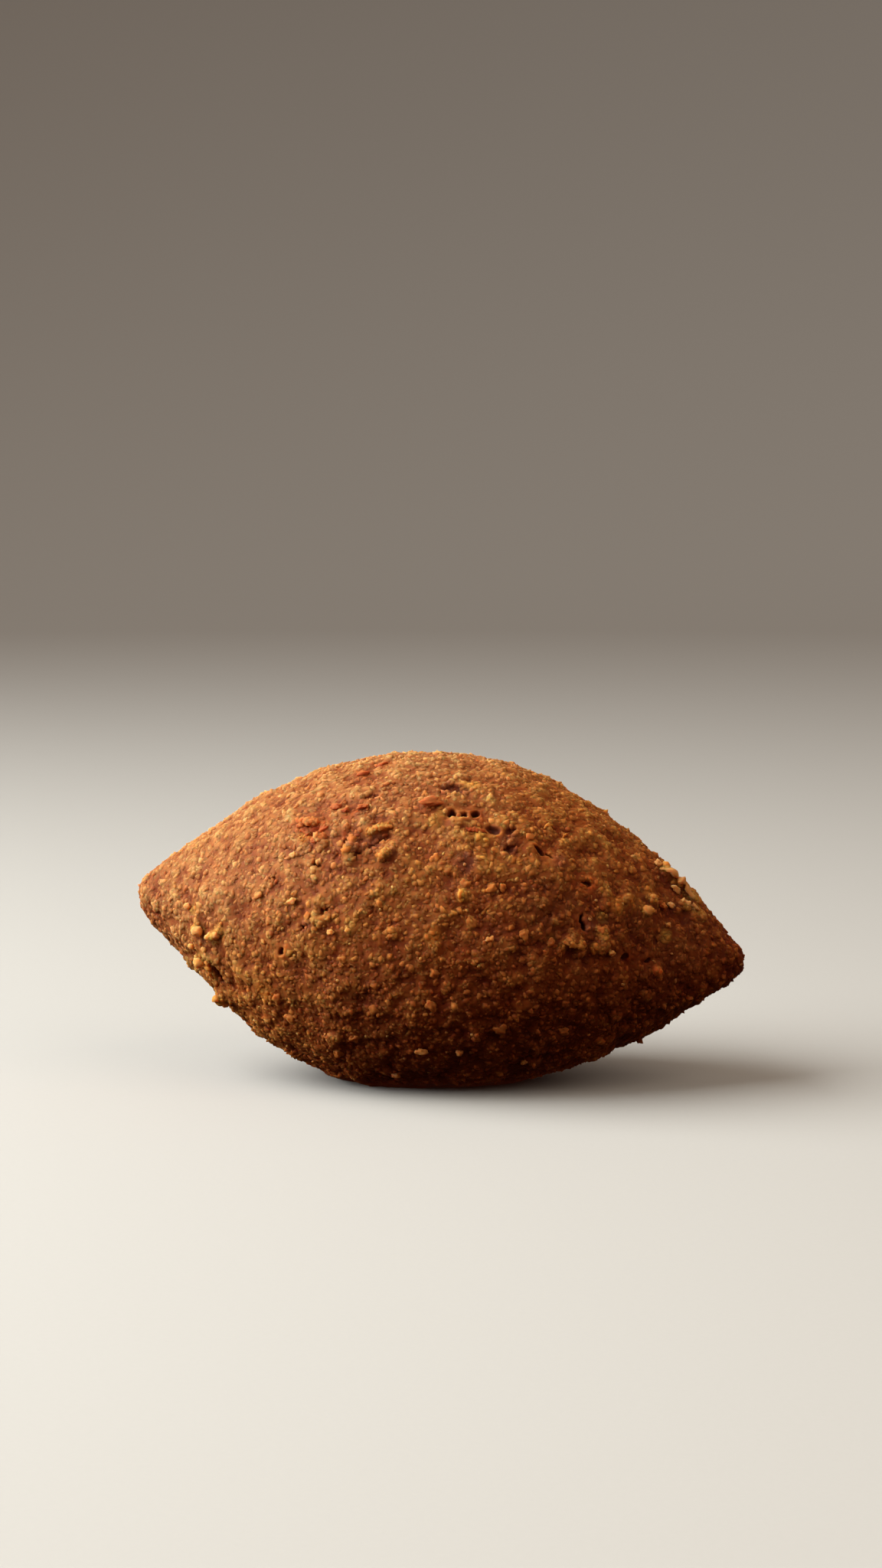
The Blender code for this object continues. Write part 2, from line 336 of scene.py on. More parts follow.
@dataclass(frozen=True)
class FriedColour:
    """The crust's colours: golden or ruddy by patches, browner in random patches of deeper cooking, and
    darker, browner, redder and less blue towards the bottom and the lower tip, which is painted shade.
    """

    golden: Stops = (
        (0.0, (0.25, 0.050, 0.011)),
        (0.35, (0.44, 0.148, 0.041)),
        (0.7, (0.64, 0.285, 0.092)),
        (1.0, (0.80, 0.400, 0.135)),
    )
    ruddy: Stops = (
        (0.0, (0.155, 0.015, 0.002)),
        (0.35, (0.285, 0.050, 0.009)),
        (0.7, (0.455, 0.120, 0.027)),
        (1.0, (0.62, 0.210, 0.055)),
    )
    deep: Stops = (
        (0.0, (0.047, 0.004, 0.001)),
        (0.35, (0.098, 0.012, 0.003)),
        (0.7, (0.180, 0.032, 0.011)),
        (1.0, (0.29, 0.074, 0.024)),
    )
    patch_mm: float = 17.0
    patch_span: Span = (0.36, 0.64)
    blotch_mm: float = 5.0
    blotch_span: Span = (0.34, 0.66)
    hue_mm: float = 3.6
    hue_span: Span = (0.33, 0.67)
    slope: float = 0.6
    slope_ends: float = 20.0
    # Heights in mm over which the painted shade of the underside grows: browner, redder and less blue
    # towards the bottom
    low_shade_span: Span = (38.5, 2.0)
    low_red_shade_span: Span = (58.0, 4.0)
    low_warm_shade_span: Span = (50.0, 34.0)
    less_blue: Colour = (1.0, 1.0, 0.64)
    low_shade_browning: float = 0.62
    patch_browning: float = 0.2
    blotch_browning: float = 0.18
    hue_redness: float = 0.25
    low_shade_redness: float = 0.9
    deep_from: float = 0.35

    def lowness(self, recipe: Recipe, heights: Span) -> Value:
        """How low on the body a place is, where the lower tip counts as lower still; this places the
        painted shade of the underside.

        Args:
            recipe: The material.
            heights: The height in mm that gives 0, and the one that gives 1.

        Returns:
            The share.
        """
        split = recipe.node("ShaderNodeSeparateXYZ", {}, {0: recipe.place})
        along = recipe.maths("MINIMUM", Value(recipe, split.outputs[0]), self.slope_ends * MM)
        up = Value(recipe, split.outputs[2])
        return recipe.stretched(up - along * self.slope, heights[0] * MM, heights[1] * MM)

    def browning_and_low_shade(self, recipe: Recipe) -> Value:
        """How brown the crust is at a place, from 0 for golden to 1 for deep brown: random patches of
        deeper cooking, and painted shade that grows towards the bottom and the lower tip.

        Args:
            recipe: The material.

        Returns:
            The share.
        """
        patches = recipe.stretched(recipe.cloud(self.patch_mm), *self.patch_span)
        blotches = recipe.stretched(recipe.cloud(self.blotch_mm, seed=3.0), *self.blotch_span)
        # Painted shade: browner towards the bottom and the lower tip, added to the random patches and
        # blotches
        low = self.lowness(recipe, self.low_shade_span) * self.low_shade_browning
        return (low + patches * self.patch_browning + blotches * self.blotch_browning).clamped()

    def at(self, recipe: Recipe, level: Value) -> Value:
        """The colour at a place.

        Args:
            recipe: The material.
            level: How light it is painted there among its neighbours, from 0 to 1: shade in the gaps,
                light on the crags.

        Returns:
            The colour.
        """
        # Brownness from random patches and from the painted shade at the bottom
        fried = self.browning_and_low_shade(recipe)
        hue = recipe.stretched(recipe.cloud(self.hue_mm, detail=0.6, seed=8.0), *self.hue_span)
        # Painted shade: redder towards the bottom and the lower tip
        low = self.lowness(recipe, self.low_red_shade_span) * self.low_shade_redness
        ruddiness = (hue * self.hue_redness + low).clamped()
        toned = recipe.mix(ruddiness, recipe.ramp(level, self.golden), recipe.ramp(level, self.ruddy))
        # Deep brown where brownest, in random patches and in the painted shade at the bottom
        darkness = recipe.stretched(fried, self.deep_from, 1.0)
        colour = recipe.mix(darkness, toned, recipe.ramp(level, self.deep))
        # Painted shade: less blue towards the bottom and the lower tip
        return recipe.mix(self.lowness(recipe, self.low_warm_shade_span), colour, self.less_blue, "MULTIPLY")


@dataclass(frozen=True)
class Patches:
    """Places with a colour of their own: golden and orange batter, red bits and minced meat."""

    golden: Colour = (0.68, 0.270, 0.045)
    orange: Colour = (0.54, 0.155, 0.020)
    red: Colour = (0.46, 0.085, 0.012)
    meat: Colour = (0.200, 0.036, 0.016)
    shares: tuple[float, ...] = (0.65, 0.7, 0.75, 0.6)
    dark_part: float = 0.35
    light_part: float = 1.25

    def over(self, recipe: Recipe, colour: Value, level: Value) -> Value:
        """Lays the patches over a colour.

        Args:
            recipe: The material.
            colour: The colour beneath.
            level: How light the place is painted among its neighbours, from 0 to 1: shade in the gaps,
                light on the crags.

        Returns:
            The colour with its patches.
        """
        tints = (self.meat, self.red, self.orange, self.golden)
        for name, tint, share in zip(PATCH_NAMES, tints, self.shares):
            dark = tuple(part * self.dark_part for part in tint)
            light = tuple(min(1.0, part * self.light_part) for part in tint)
            # Patches too take the painted shade in the gaps and the painted light on the crags
            own = recipe.ramp(level, ((0.0, dark), (0.5, tint), (1.0, light)))
            colour = recipe.mix(recipe.attribute(name) * share, colour, own)
        return colour


@dataclass(frozen=True)
class CrustFinish:
    """The brown crust between the grains: fried mince and bulgur, grainy and slightly oily, painted
    darker in its gaps as shade.
    """

    name: str = "fried_crust"
    # Colours painted inside the pits: a meat colour, partly the meat filling and partly painted shade,
    # and a near-black painted shade
    pit_meat_and_shade: Colour = (0.130, 0.020, 0.008)
    pit_shade_colour: Colour = (0.030, 0.003, 0.001)
    pit_meat_and_shade_share: float = 0.6
    grain_mm: float = 0.7
    grain_shade: float = 0.1
    uneven_mm: float = 1.2
    uneven_shade: float = 0.35
    # Painted shade: the crust, which shows in the gaps between the grains, is a little darker than most
    # grains
    darker: float = 0.02
    roughness: float = 0.6
    rougher: float = 0.2
    gloss: float = 0.12
    light_mm: float = 1.1
    grain_height: float = 0.6
    fine_mm: float = 0.6
    fine_height: float = 0.4
    bump_mm: float = 0.12
    bump_strength: float = 0.7

    def material(self) -> bpy.types.Material:
        """Makes the material.

        Returns:
            The crust's material.
        """
        recipe = Recipe(self.name)
        distance, chance = recipe.grains(self.grain_mm)
        uneven = recipe.cloud(self.uneven_mm, detail=3.0, rough=0.6, seed=4.0) - 0.5
        shade = uneven * self.uneven_shade + (chance - 0.5) * self.grain_shade
        # Painted shade in the gaps and painted light on the crags, by rise, with random tone
        level = (recipe.rise() - self.darker + shade).clamped()
        ground = Patches().over(recipe, FriedColour().at(recipe, level), level)
        # Meat colour inside the pits, stronger in deeper ones: partly the meat filling, partly painted
        # shade in the hollows
        ground = recipe.mix(recipe.attribute("hollow") * self.pit_meat_and_shade_share, ground, self.pit_meat_and_shade)
        # Painted shade: the pits' insides go near black, most at their middles
        ground = recipe.mix(recipe.attribute("char"), ground, self.pit_shade_colour)
        recipe.surface(ground, self.roughness + self.rougher * chance, self.gloss)
        recipe.soften(self.light_mm)
        fine = recipe.cloud(self.fine_mm, detail=3.0, rough=0.6)
        height = (1 - distance) * self.grain_height + fine * self.fine_height
        recipe.relief(height, self.bump_mm, self.bump_strength)
        return recipe.material


@dataclass(frozen=True)
class GrainFinish:
    """One kind of grain or crumb on the crust, each grain with a shade of its own."""

    name: str
    level: float = 0.5
    spread: float = 0.30
    paleness: float = 0.0
    pale: Colour = (0.84, 0.50, 0.22)
    roughness: float = 0.5
    rougher: float = 0.3
    gloss: float = 0.12
    light_mm: float = 1.1
    speckle_mm: float = 1.3
    speckle_shade: float = 0.35
    bump_mm: float = 0.05
    bump_strength: float = 0.6
    usual_level: float = 0.46
    browning_and_shade_loss: float = 0.75

    def material(self) -> bpy.types.Material:
        """Makes the material.

        Returns:
            The grains' material.
        """
        recipe = Recipe(self.name)
        speckle = recipe.cloud(self.speckle_mm, detail=3.0, rough=0.6, seed=2.0)
        shade = (recipe.attribute("shade") - 0.5) * self.spread
        own = self.level - self.usual_level + shade + (speckle - 0.5) * self.speckle_shade
        # Painted shade in the gaps and painted light on the crags, by rise, with the grain's own tone
        level = (recipe.rise() + own).clamped()
        fried = FriedColour()
        colour = Patches().over(recipe, fried.at(recipe, level), level)
        # Pale grains lose their paleness where the crust is browner, in random patches and in the painted
        # shade towards the bottom
        share = (1 - fried.browning_and_low_shade(recipe) * self.browning_and_shade_loss) * self.paleness
        colour = recipe.mix(share, colour, self.pale)
        recipe.surface(colour, self.roughness + self.rougher * speckle, self.gloss)
        recipe.soften(self.light_mm)
        recipe.relief(speckle, self.bump_mm, self.bump_strength)
        return recipe.material


def clipped(share: float) -> float:
    """A number kept between 0 and 1."""
    return min(1.0, max(0.0, share))


def each(kind: type, *rows: tuple) -> tuple:
    """One object of a kind from each row of its values."""
    return tuple(kind(*row) for row in rows)


@dataclass(frozen=True)
class Spot:
    """A place on the crust, by its distance along in mm and its turn in degrees."""

    along: float
    turn: float
    size: float = 1.5

    def axis_point(self) -> Vector:
        """The point of the long axis from which this place is looked for."""
        return BODY_MIDDLE + LONG_AXIS * self.along * MM

    def outward(self) -> Vector:
        """The direction from the long axis to this place."""
        angle = math.radians(self.turn)
        return Matrix.Rotation(LEAN, 3, "Y") @ Vector((0, -math.cos(angle), math.sin(angle)))


@dataclass(frozen=True)
class Pit(Spot):
    """An oval hollow in the crust, in mm, with its heading from the long axis towards the crown."""

    width: float = 0.8
    depth: float = 0.8
    heading: float = 0.0
    # How dark its inside is painted: painted shade in the hollow. Darker pits also keep the grains off
    # their edges
    char: float = 0.65


@dataclass(frozen=True)
class PitEdge:
    """How the pits' walls and rims run; places are in shares of a pit's half size."""

    edge: float = 1.15
    slope: float = 0.4
    rim: float = 1.35
    rim_width: float = 0.4
    shake: float = 0.22
    shake_mm: float = 0.9
    reach_mm: float = 2.0
    deep_mm: float = 0.8

    def away(self, pit: Pit, local: np.ndarray, point: Vector) -> float:
        """How far from a pit's middle a point is.

        Args:
            pit: The pit.
            local: The point on the pit's own axes, in mm.
            point: The point in the scene, which gives the pit's outline its unevenness.

        Returns:
            The distance, 1 on the pit's outline.
        """
        shake = self.shake * noise.noise(point / (self.shake_mm * MM))
        return math.hypot(local[0] / (pit.size / 2), local[1] / (pit.width / 2)) + shake

    def inside(self, away: float) -> float:
        """How far inside the pit a place is, from 0 to 1, with a soft start and end."""
        share = clipped((self.edge - away) / self.slope)
        return share * share * (3 - 2 * share)

    def rimness(self, away: float) -> float:
        """How near to the pit's rim a place is, from 0 to 1."""
        return clipped(1 - abs(away - self.rim) / self.rim_width)


def faces_of(mesh: bpy.types.Mesh) -> BVHTree:
    """A mesh's faces, to look places up on."""
    points = [vertex.co.copy() for vertex in mesh.vertices]
    return BVHTree.FromPolygons(points, [tuple(face.vertices) for face in mesh.polygons])


def points_of(mesh: bpy.types.Mesh) -> np.ndarray:
    """Reads a mesh's points.

    Args:
        mesh: The mesh.

    Returns:
        Their places, one in each row.
    """
    points = np.empty(len(mesh.vertices) * 3)
    mesh.vertices.foreach_get("co", points)
    return points.reshape(-1, 3)


def store_on(mesh: bpy.types.Mesh, name: str, values: Sequence[float]) -> None:
    """Stores a number for each of a mesh's points."""
    attribute = mesh.attributes.new(name, "FLOAT", "POINT")
    attribute.data.foreach_set("value", np.asarray(values, dtype=np.float32))


def finished(obj: bpy.types.Object, name: str) -> bpy.types.Mesh:
    """The object's mesh with its modifiers applied.

    Args:
        obj: The object.
        name: The new mesh's name.

    Returns:
        A mesh of its own.
    """
    graph = bpy.context.evaluated_depsgraph_get()
    mesh = bpy.data.meshes.new_from_object(obj.evaluated_get(graph))
    mesh.name = name
    return mesh


def linked(name: str, mesh: bpy.types.Mesh) -> bpy.types.Object:
    """Puts a mesh in the scene.

    Args:
        name: The new object's name.
        mesh: The mesh.

    Returns:
        The object.
    """
    obj = bpy.data.objects.new(name, mesh)
    bpy.context.scene.collection.objects.link(obj)
    return obj


def settle_piece(piece: bpy.types.Object, material: bpy.types.Material) -> None:
    """Dresses a finished piece and lets it ride on the kibbeh.

    Args:
        piece: The piece, with its place in its mesh.
        material: Its material.
    """
    piece.data.materials.clear()
    piece.data.materials.append(material)
    piece.data.shade_smooth()
    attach(piece, BODY)
    piece.data.calc_loop_triangles()
    log.info("%s: %d triangles", piece.name, len(piece.data.loop_triangles))


@dataclass(frozen=True)
class Relief:
    """The fine form of the skin: uneven lumps of mince with a grain on them, and slow ripples."""

    lump: float = 2.4 * MM
    lump_height: float = 0.52 * MM
    lump_mean: float = 0.25
    lump_spread: float = 0.75
    lump_edge: float = 0.62
    lump_slope: float = 1.5
    grain: float = 1.05 * MM
    grain_height: float = 0.18 * MM
    grain_edge: float = 0.55
    grain_slope: float = 1.6
    ripple: float = 4.5 * MM
    ripple_height: float = 0.42 * MM
    ripple_layers: int = 3
    ripple_fade: float = 0.8
    warp: float = 0.5 * MM
    warp_size: float = 1.3 * MM
    apart: float = 7.3

    def at(self, point: Vector) -> float:
        """Works out how high the fine form stands.

        Args:
            point: A point of the skin.

        Returns:
            The height there, in metres.
        """
        bent = point + self.warp * noise.noise_vector(point / self.warp_size)
        near, middles = noise.voronoi(bent / self.lump)
        tall = self.lump_mean + self.lump_spread * noise.cell(middles[0] * self.apart)
        lump = tall * (self.lump_edge - near[0]) * self.lump_slope
        grain = (self.grain_edge - noise.voronoi(bent / self.grain)[0][0]) * self.grain_slope
        ripple = noise.fractal(point / self.ripple, self.ripple_fade, FINER, self.ripple_layers)
        return self.lump_height * lump + self.grain_height * grain + self.ripple_height * ripple


@dataclass
class Crust:
    """The skin of the kibbeh: the part's own form, divided finely and given its grain."""

    cell: float = 0.505 * MM
    merge: float = 0.001 * MM
    smooth_factor: float = 0.5
    smooth_rounds: int = 4
    body_rounds: int = 120
    relief: Relief = Relief()
    rim_height: float = 0.05 * MM
    calm_height: float = 1.5 * MM
    pit_edge: PitEdge = PitEdge()
    # Pits painted darker inside than this keep the grains off their edges
    shaded_pit_from: float = 0.3
    clear_most: float = 3.0
    spot_edge: float = 1.35
    spot_slope: float = 0.6
    refined_around: float = 1.2
    pits: tuple[Pit, ...] = each(
        Pit,
        (3.0, 48.8, 1.90, 1.35, 1.8, 90, 1.0), (4.8, 48.9, 1.85, 1.30, 1.7, 80, 0.85),
        (6.4, 50.8, 1.50, 1.25, 1.5, 60, 0.8), (9.8, 45.2, 2.6, 1.6, 0.6, -20, 0.32),
        (12.4, 46.5, 1.9, 1.2, 0.35, 50, 0.1), (12.6, 39.1, 2.3, 1.3, 0.3, 40, 0.05),
        (17.2, 41.8, 2.4, 0.8, 0.8, -25, 0.7), (19.0, 40.7, 1.8, 0.7, 0.7, -30, 0.7),
        (2.4, 61, 4.4, 2.4, 0.40, 5, 0.0), (-10.7, 54.0, 2.6, 1.3, 0.35, 20, 0.2),
        (-7.2, 36, 2.6, 0.9, 0.35, 35, 0.2), (-8.9, 32.8, 2.2, 0.9, 0.3, 30, 0.2),
        (-11.3, 30.2, 2.2, 1.2, 0.3, 10, 0.1), (-13.0, 34.0, 1.5, 0.8, 0.3, -40, 0.1),
        (-18.9, 40, 2.0, 1.0, 0.3, 20, 0.1), (-14.7, 10, 1.9, 1.1, 0.45, 60, 0.2),
        (-17.2, 26, 1.9, 1.1, 0.4, -30, 0.3), (-18.0, 3, 1.4, 0.9, 0.4, 80, 0.3),
        (-21.3, -7.7, 1.5, 1.1, 0.6, 60, 0.31), (-24.4, 21, 1.3, 0.8, 0.3, 0, 0.2),
        (25.0, 35.3, 1.8, 1.3, 0.5, 0, 0.25), (24.9, 19.4, 2.0, 1.0, 0.8, 80, 0.6),
        (25.4, 16.8, 2.0, 1.0, 0.8, -60, 0.55), (20.2, 18.0, 1.2, 0.7, 0.3, 0, 0.2),
        (32.2, 4.5, 1.3, 0.9, 0.6, 20, 0.5), (35.7, 2.6, 1.2, 0.8, 0.6, 30, 0.45),
        (-33.4, -38, 4.4, 1.2, 0.6, -65, 0.2),
    )
    # Meat-coloured spots; many sit on the pits, where their darkness is partly painted shade in the
    # hollows
    meat: tuple[Spot, ...] = each(
        Spot,
        (1.6, 61, 1.3), (3.2, 61, 1.3), (9.8, 45.2, 1.1), (12.5, 39.4, 1.3), (12.4, 46.5, 0.9),
        (6.5, 31, 1.6), (-8.8, 35, 1.5), (-11.6, 33, 1.4), (20.6, 40, 1.2), (12.4, 42, 1.5),
        (-5.6, 31, 1.0), (26.0, 17.0, 1.2), (-17.4, 4, 1.1), (-12.0, 46, 1.0),
    )
    red: tuple[Spot, ...] = each(
        Spot,
        (-0.7, 51, 1.5), (0.9, 52, 1.0), (-18.9, 40.5, 1.5), (-17.2, 37, 1.1), (-20.8, 42, 1.2),
        (25.0, 35.3, 1.7), (36.7, 42.6, 0.9), (37.2, -4, 1.1), (7.4, 47.8, 0.6), (-13.0, 68, 1.5),
        (-10.4, 74, 1.4), (-15.8, 49.4, 1.3), (-13.4, 46.2, 1.2), (-12.8, 38, 1.3), (17.8, -46, 1.0),
        (-19.4, 43.8, 1.7), (-21.4, 44.5, 1.2), (-17.2, 43.0, 1.2),
    )
    orange: tuple[Spot, ...] = each(
        Spot,
        (-9.8, 37.8, 1.0), (-8.2, 40.0, 1.0), (-6.6, 41.2, 1.0), (-7.4, 28.6, 1.0), (-6.4, 30.6, 1.0),
        (-12.8, 31.0, 1.0), (-20.0, 38.0, 1.3), (23.0, 7.6, 0.8), (25.4, 6.8, 0.8), (27.4, 7.8, 0.8),
        (21.0, 9.5, 0.8), (30.0, 30.0, 1.4), (33.0, 36.0, 1.3), (34.0, 48.0, 1.3), (-24.0, -28.0, 1.5),
        (3.0, 6.0, 1.4),
    )
    golden: tuple[Spot, ...] = each(
        Spot,
        (8.0, 41, 1.6), (4.6, 64, 1.5), (1.2, 48, 0.9), (0.6, 44, 1.2), (28.5, 14.7, 0.9),
        (35.0, 33.4, 1.2), (35.1, 43.2, 0.8), (37.8, 22.6, 1.1), (28.1, 22.1, 0.9), (-32.9, -8.0, 1.3),
        (36.2, 72, 1.0), (38.4, 70.5, 1.0), (40.4, 67, 1.0), (40.6, 57.5, 0.9), (42.2, 59.5, 0.9),
        (-37.0, -12, 1.4), (-33.8, -12, 1.4), (-36.4, -33.5, 1.4), (-32.4, -58, 1.3), (-20.3, 12, 0.9),
        (6.6, 20, 1.0), (-38.0, 2.0, 1.2),
    )
    piece: bpy.types.Object = field(init=False)
    body_tree: BVHTree = field(init=False)
    calm_tree: BVHTree = field(init=False)

    def build(self) -> None:
        """Builds the skin from a merged copy of the part's node."""
        copy = bpy.data.meshes.new("crust copy")
        bm = bmesh.new()
        bm.from_mesh(frame["nodes"][NODE].data)
        bmesh.ops.remove_doubles(bm, verts=bm.verts, dist=self.merge)
        bm.to_mesh(copy)
        bm.free()
        rough = linked("crust", copy)
        remesh = rough.modifiers.new("Fine cells", "REMESH")
        remesh.mode = "VOXEL"
        remesh.voxel_size = self.cell
        calm = rough.modifiers.new("Soften the facets", "SMOOTH")
        calm.factor = self.smooth_factor
        calm.iterations = self.smooth_rounds
        mesh = finished(rough, "crust")
        calm.iterations = self.body_rounds
        self.body_tree = faces_of(finished(rough, "smooth body"))
        rough.modifiers.clear()
        rough.data = mesh
        self.piece = rough
        self.calm_tree = faces_of(mesh)
        self.refine_pits()
        hollow, rim, char, clear = self.hollows()
        self.raise_relief(hollow, rim)
        self.store("hollow", hollow)
        self.store("char", char)
        self.store("clear", clear)
        for name, spots in zip(PATCH_NAMES, (self.meat, self.red, self.orange, self.golden)):
            self.store(name, self.nearness(spots))

    def footing(self, spot: Spot, heading: float = 0.0, on_body: bool = False) -> Matrix:
        """Axes on the skin at a spot: X along the heading, Y across it and Z out of the skin.

        Args:
            spot: The spot.
            heading: The angle from the long axis towards the crown, in degrees.
            on_body: Whether the smooth body carries the spot, and not the skin with its crags.

        Returns:
            The axes as a matrix, with the spot's point as their origin.
        """
        start = spot.axis_point() + spot.outward() * OUTSIDE
        normal = self.body_tree.ray_cast(start, -spot.outward())[1]
        tree = self.body_tree if on_body else self.calm_tree
        point = tree.ray_cast(start, -spot.outward())[0]
        ahead = (LONG_AXIS - normal * LONG_AXIS.dot(normal)).normalized()
        ahead.rotate(Matrix.Rotation(math.radians(heading), 3, normal))
        axes = Matrix((ahead, normal.cross(ahead), normal)).transposed().to_4x4()
        axes.translation = point
        return axes

    def refine_pits(self) -> None:
        """Divides the skin more finely in and around the pits, so that their rims are crisp."""
        points = points_of(self.piece.data)
        near = np.zeros(len(points), dtype=bool)
        for pit in self.pits:
            middle = np.array(self.footing(pit, on_body=True).translation)
            reach = (max(pit.size, pit.width) / 2 + self.refined_around) * MM
            near |= np.linalg.norm(points - middle, axis=1) < reach
        mesh = self.piece.data
        bm = bmesh.new()
        bm.from_mesh(mesh)
        bm.verts.ensure_lookup_table()
        edges = [edge for edge in bm.edges if near[edge.verts[0].index] and near[edge.verts[1].index]]
        bmesh.ops.subdivide_edges(bm, edges=edges, cuts=2, use_grid_fill=True)
        bm.to_mesh(mesh)
        bm.free()
        mesh.update()

    def hollows(self) -> tuple[np.ndarray, ...]:
        """Sinks the pits into the skin.

        Returns:
            How far inside a pit each point is, how near to its rim and how dark its painted pit shade is,
            from 0 to 1, and how many mm it is clear of the nearest pit's edge.
        """
        points = points_of(self.piece.data)
        edge = self.pit_edge
        hollow, rim, char = (np.zeros(len(points)) for _ in range(3))
        clear = np.full(len(points), self.clear_most)
        sink = np.zeros((len(points), 3))
        for pit in self.pits:
            axes = self.footing(pit, pit.heading, on_body=True)
            turned = np.array(axes.to_3x3())
            local = (points - np.array(axes.translation)) @ turned
            close = np.linalg.norm(local, axis=1) < (pit.size / 2 + edge.reach_mm) * MM
            for number in np.flatnonzero(close):
                away = edge.away(pit, local[number] / MM, Vector(points[number]))
                inside = edge.inside(away)
                hollow[number] = max(hollow[number], inside * min(1.0, pit.depth / edge.deep_mm))
                if pit.char > self.shaded_pit_from:
                    clear[number] = min(clear[number], (away - 1) * (pit.size + pit.width) / 4)
                char[number] = max(char[number], inside * pit.char)
                rim[number] = max(rim[number], edge.rimness(away))
                sink[number] = sink[number] - turned[:, 2] * inside * pit.depth * MM
        points += sink
        self.piece.data.vertices.foreach_set("co", points.ravel())
        self.piece.data.update()
        return hollow, rim * (1 - hollow), char, clear

    def raise_relief(self, hollow: np.ndarray, rim: np.ndarray) -> None:
        """Moves each point of the skin out by its relief, and keeps the resting spot flat.

        Args:
            hollow: How far inside a pit each point is, from 0 to 1.
            rim: How near to a pit's rim each point is, from 0 to 1.
        """
        mesh = self.piece.data
        normals = [vertex.normal.copy() for vertex in mesh.vertices]
        for number, (vertex, normal) in enumerate(zip(mesh.vertices, normals)):
            height = self.relief.at(vertex.co)
            fade = clipped(vertex.co.z / self.calm_height) * (1 - hollow[number])
            vertex.co += normal * (height + self.rim_height * rim[number]) * fade
            vertex.co.z = max(vertex.co.z, 0.0)
        mesh.update()

    def store(self, name: str, values: np.ndarray) -> None:
        """Stores a number for each point of the skin, for the finishes and the grains to read."""
        store_on(self.piece.data, name, values)

    def nearness(self, spots: Sequence[Spot]) -> np.ndarray:
        """How near each point of the skin is to the named spots.

        Args:
            spots: Places on the crust, with the size of each in mm.

        Returns:
            A share for each point, 1 inside a spot and 0 outside it.
        """
        points = points_of(self.piece.data)
        share = np.zeros(len(points))
        for spot in spots:
            middle = np.array(self.footing(spot).translation)
            away = np.linalg.norm(points - middle, axis=1) / (spot.size * MM)
            share = np.maximum(share, np.clip((self.spot_edge - away) / self.spot_slope, 0, 1))
        return share

    def dress(self) -> None:
        """Gives the skin its finish and lets it stand for the part's node."""
        settle_piece(self.piece, CrustFinish().material())
        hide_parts(NODE)


@dataclass
class Heights:
    """How high everything stands above the smooth body, and above what lies round it, for painted gap
    shade.
    """

    body_tree: BVHTree
    cell: float = 0.5 * MM
    margin: float = 3 * MM
    reach: int = 2
    passes: int = 2
    tips_from: float = 42.0
    tip_loss: float = 0.12
    own_share: float = 0.3
    least_count: float = 1e-6

    def above_body(self, vertex: bpy.types.MeshVertex) -> tuple[float, float]:
        """How a point stands to the smooth body.

        Args:
            vertex: The point.

        Returns:
            Its height in mm, lessened where the body's tips are blunted, and how far it faces out.
        """
        foot, normal, _, _ = self.body_tree.find_nearest(vertex.co)
        along = abs((vertex.co - BODY_MIDDLE).dot(LONG_AXIS)) / MM
        blunted = max(0.0, along - self.tips_from) * self.tip_loss
        height = (vertex.co - foot).dot(normal) / MM - blunted
        return height, max(0.0, vertex.normal.dot(normal))

    def blurred(self, cells: np.ndarray) -> np.ndarray:
        """Spreads each cell's value over the cells round it.

        Args:
            cells: A block of cells with their values.

        Returns:
            The block with the values spread.
        """
        shifts = range(-self.reach, self.reach + 1)
        for _ in range(self.passes):
            for axis in range(3):
                cells = sum(np.roll(cells, shift, axis) for shift in shifts)
        return cells

    def store(self, pieces: Sequence[bpy.types.Object]) -> None:
        """Stores on the pieces' points how they stand among their neighbours.

        Args:
            pieces: All that lies on the kibbeh, and its skin.
        """
        points = [points_of(piece.data) for piece in pieces]
        stands = [
            np.array([self.above_body(vertex) for vertex in piece.data.vertices])
            for piece in pieces
        ]
        every = np.concatenate(points)
        lowest = every.min(axis=0) - self.margin
        shape = tuple(((every.max(axis=0) + self.margin - lowest) / self.cell).astype(int) + 1)
        cells = [((own - lowest) / self.cell).astype(int).T for own in points]
        places = [np.ravel_multi_index(own, shape) for own in cells]
        flat = np.concatenate(places)
        size = int(np.prod(shape))
        heights, facing = np.concatenate(stands).T
        total = np.bincount(flat, heights * facing, size).reshape(shape)
        count = np.bincount(flat, facing, size).reshape(shape)
        mean = (self.blurred(total) / np.maximum(self.blurred(count), self.least_count)).ravel()
        for piece, place, stand in zip(pieces, places, stands):
            own = stand[:, 0]
            # By this rise the finishes paint shade in the gaps and light on the crags
            store_on(piece.data, "rise", own - mean[place] + own * self.own_share)


def chance_of(number: float, seed: int) -> float:
    """A chance value from 0 to 1 for a numbered piece."""
    return noise.cell(Vector((number, seed, 0.5))) * 0.5 + 0.5


def socket_named(sockets: object, name: str) -> bpy.types.NodeSocket:
    """The socket of this name that is in use."""
    return next(socket for socket in sockets if socket.name == name and socket.enabled)


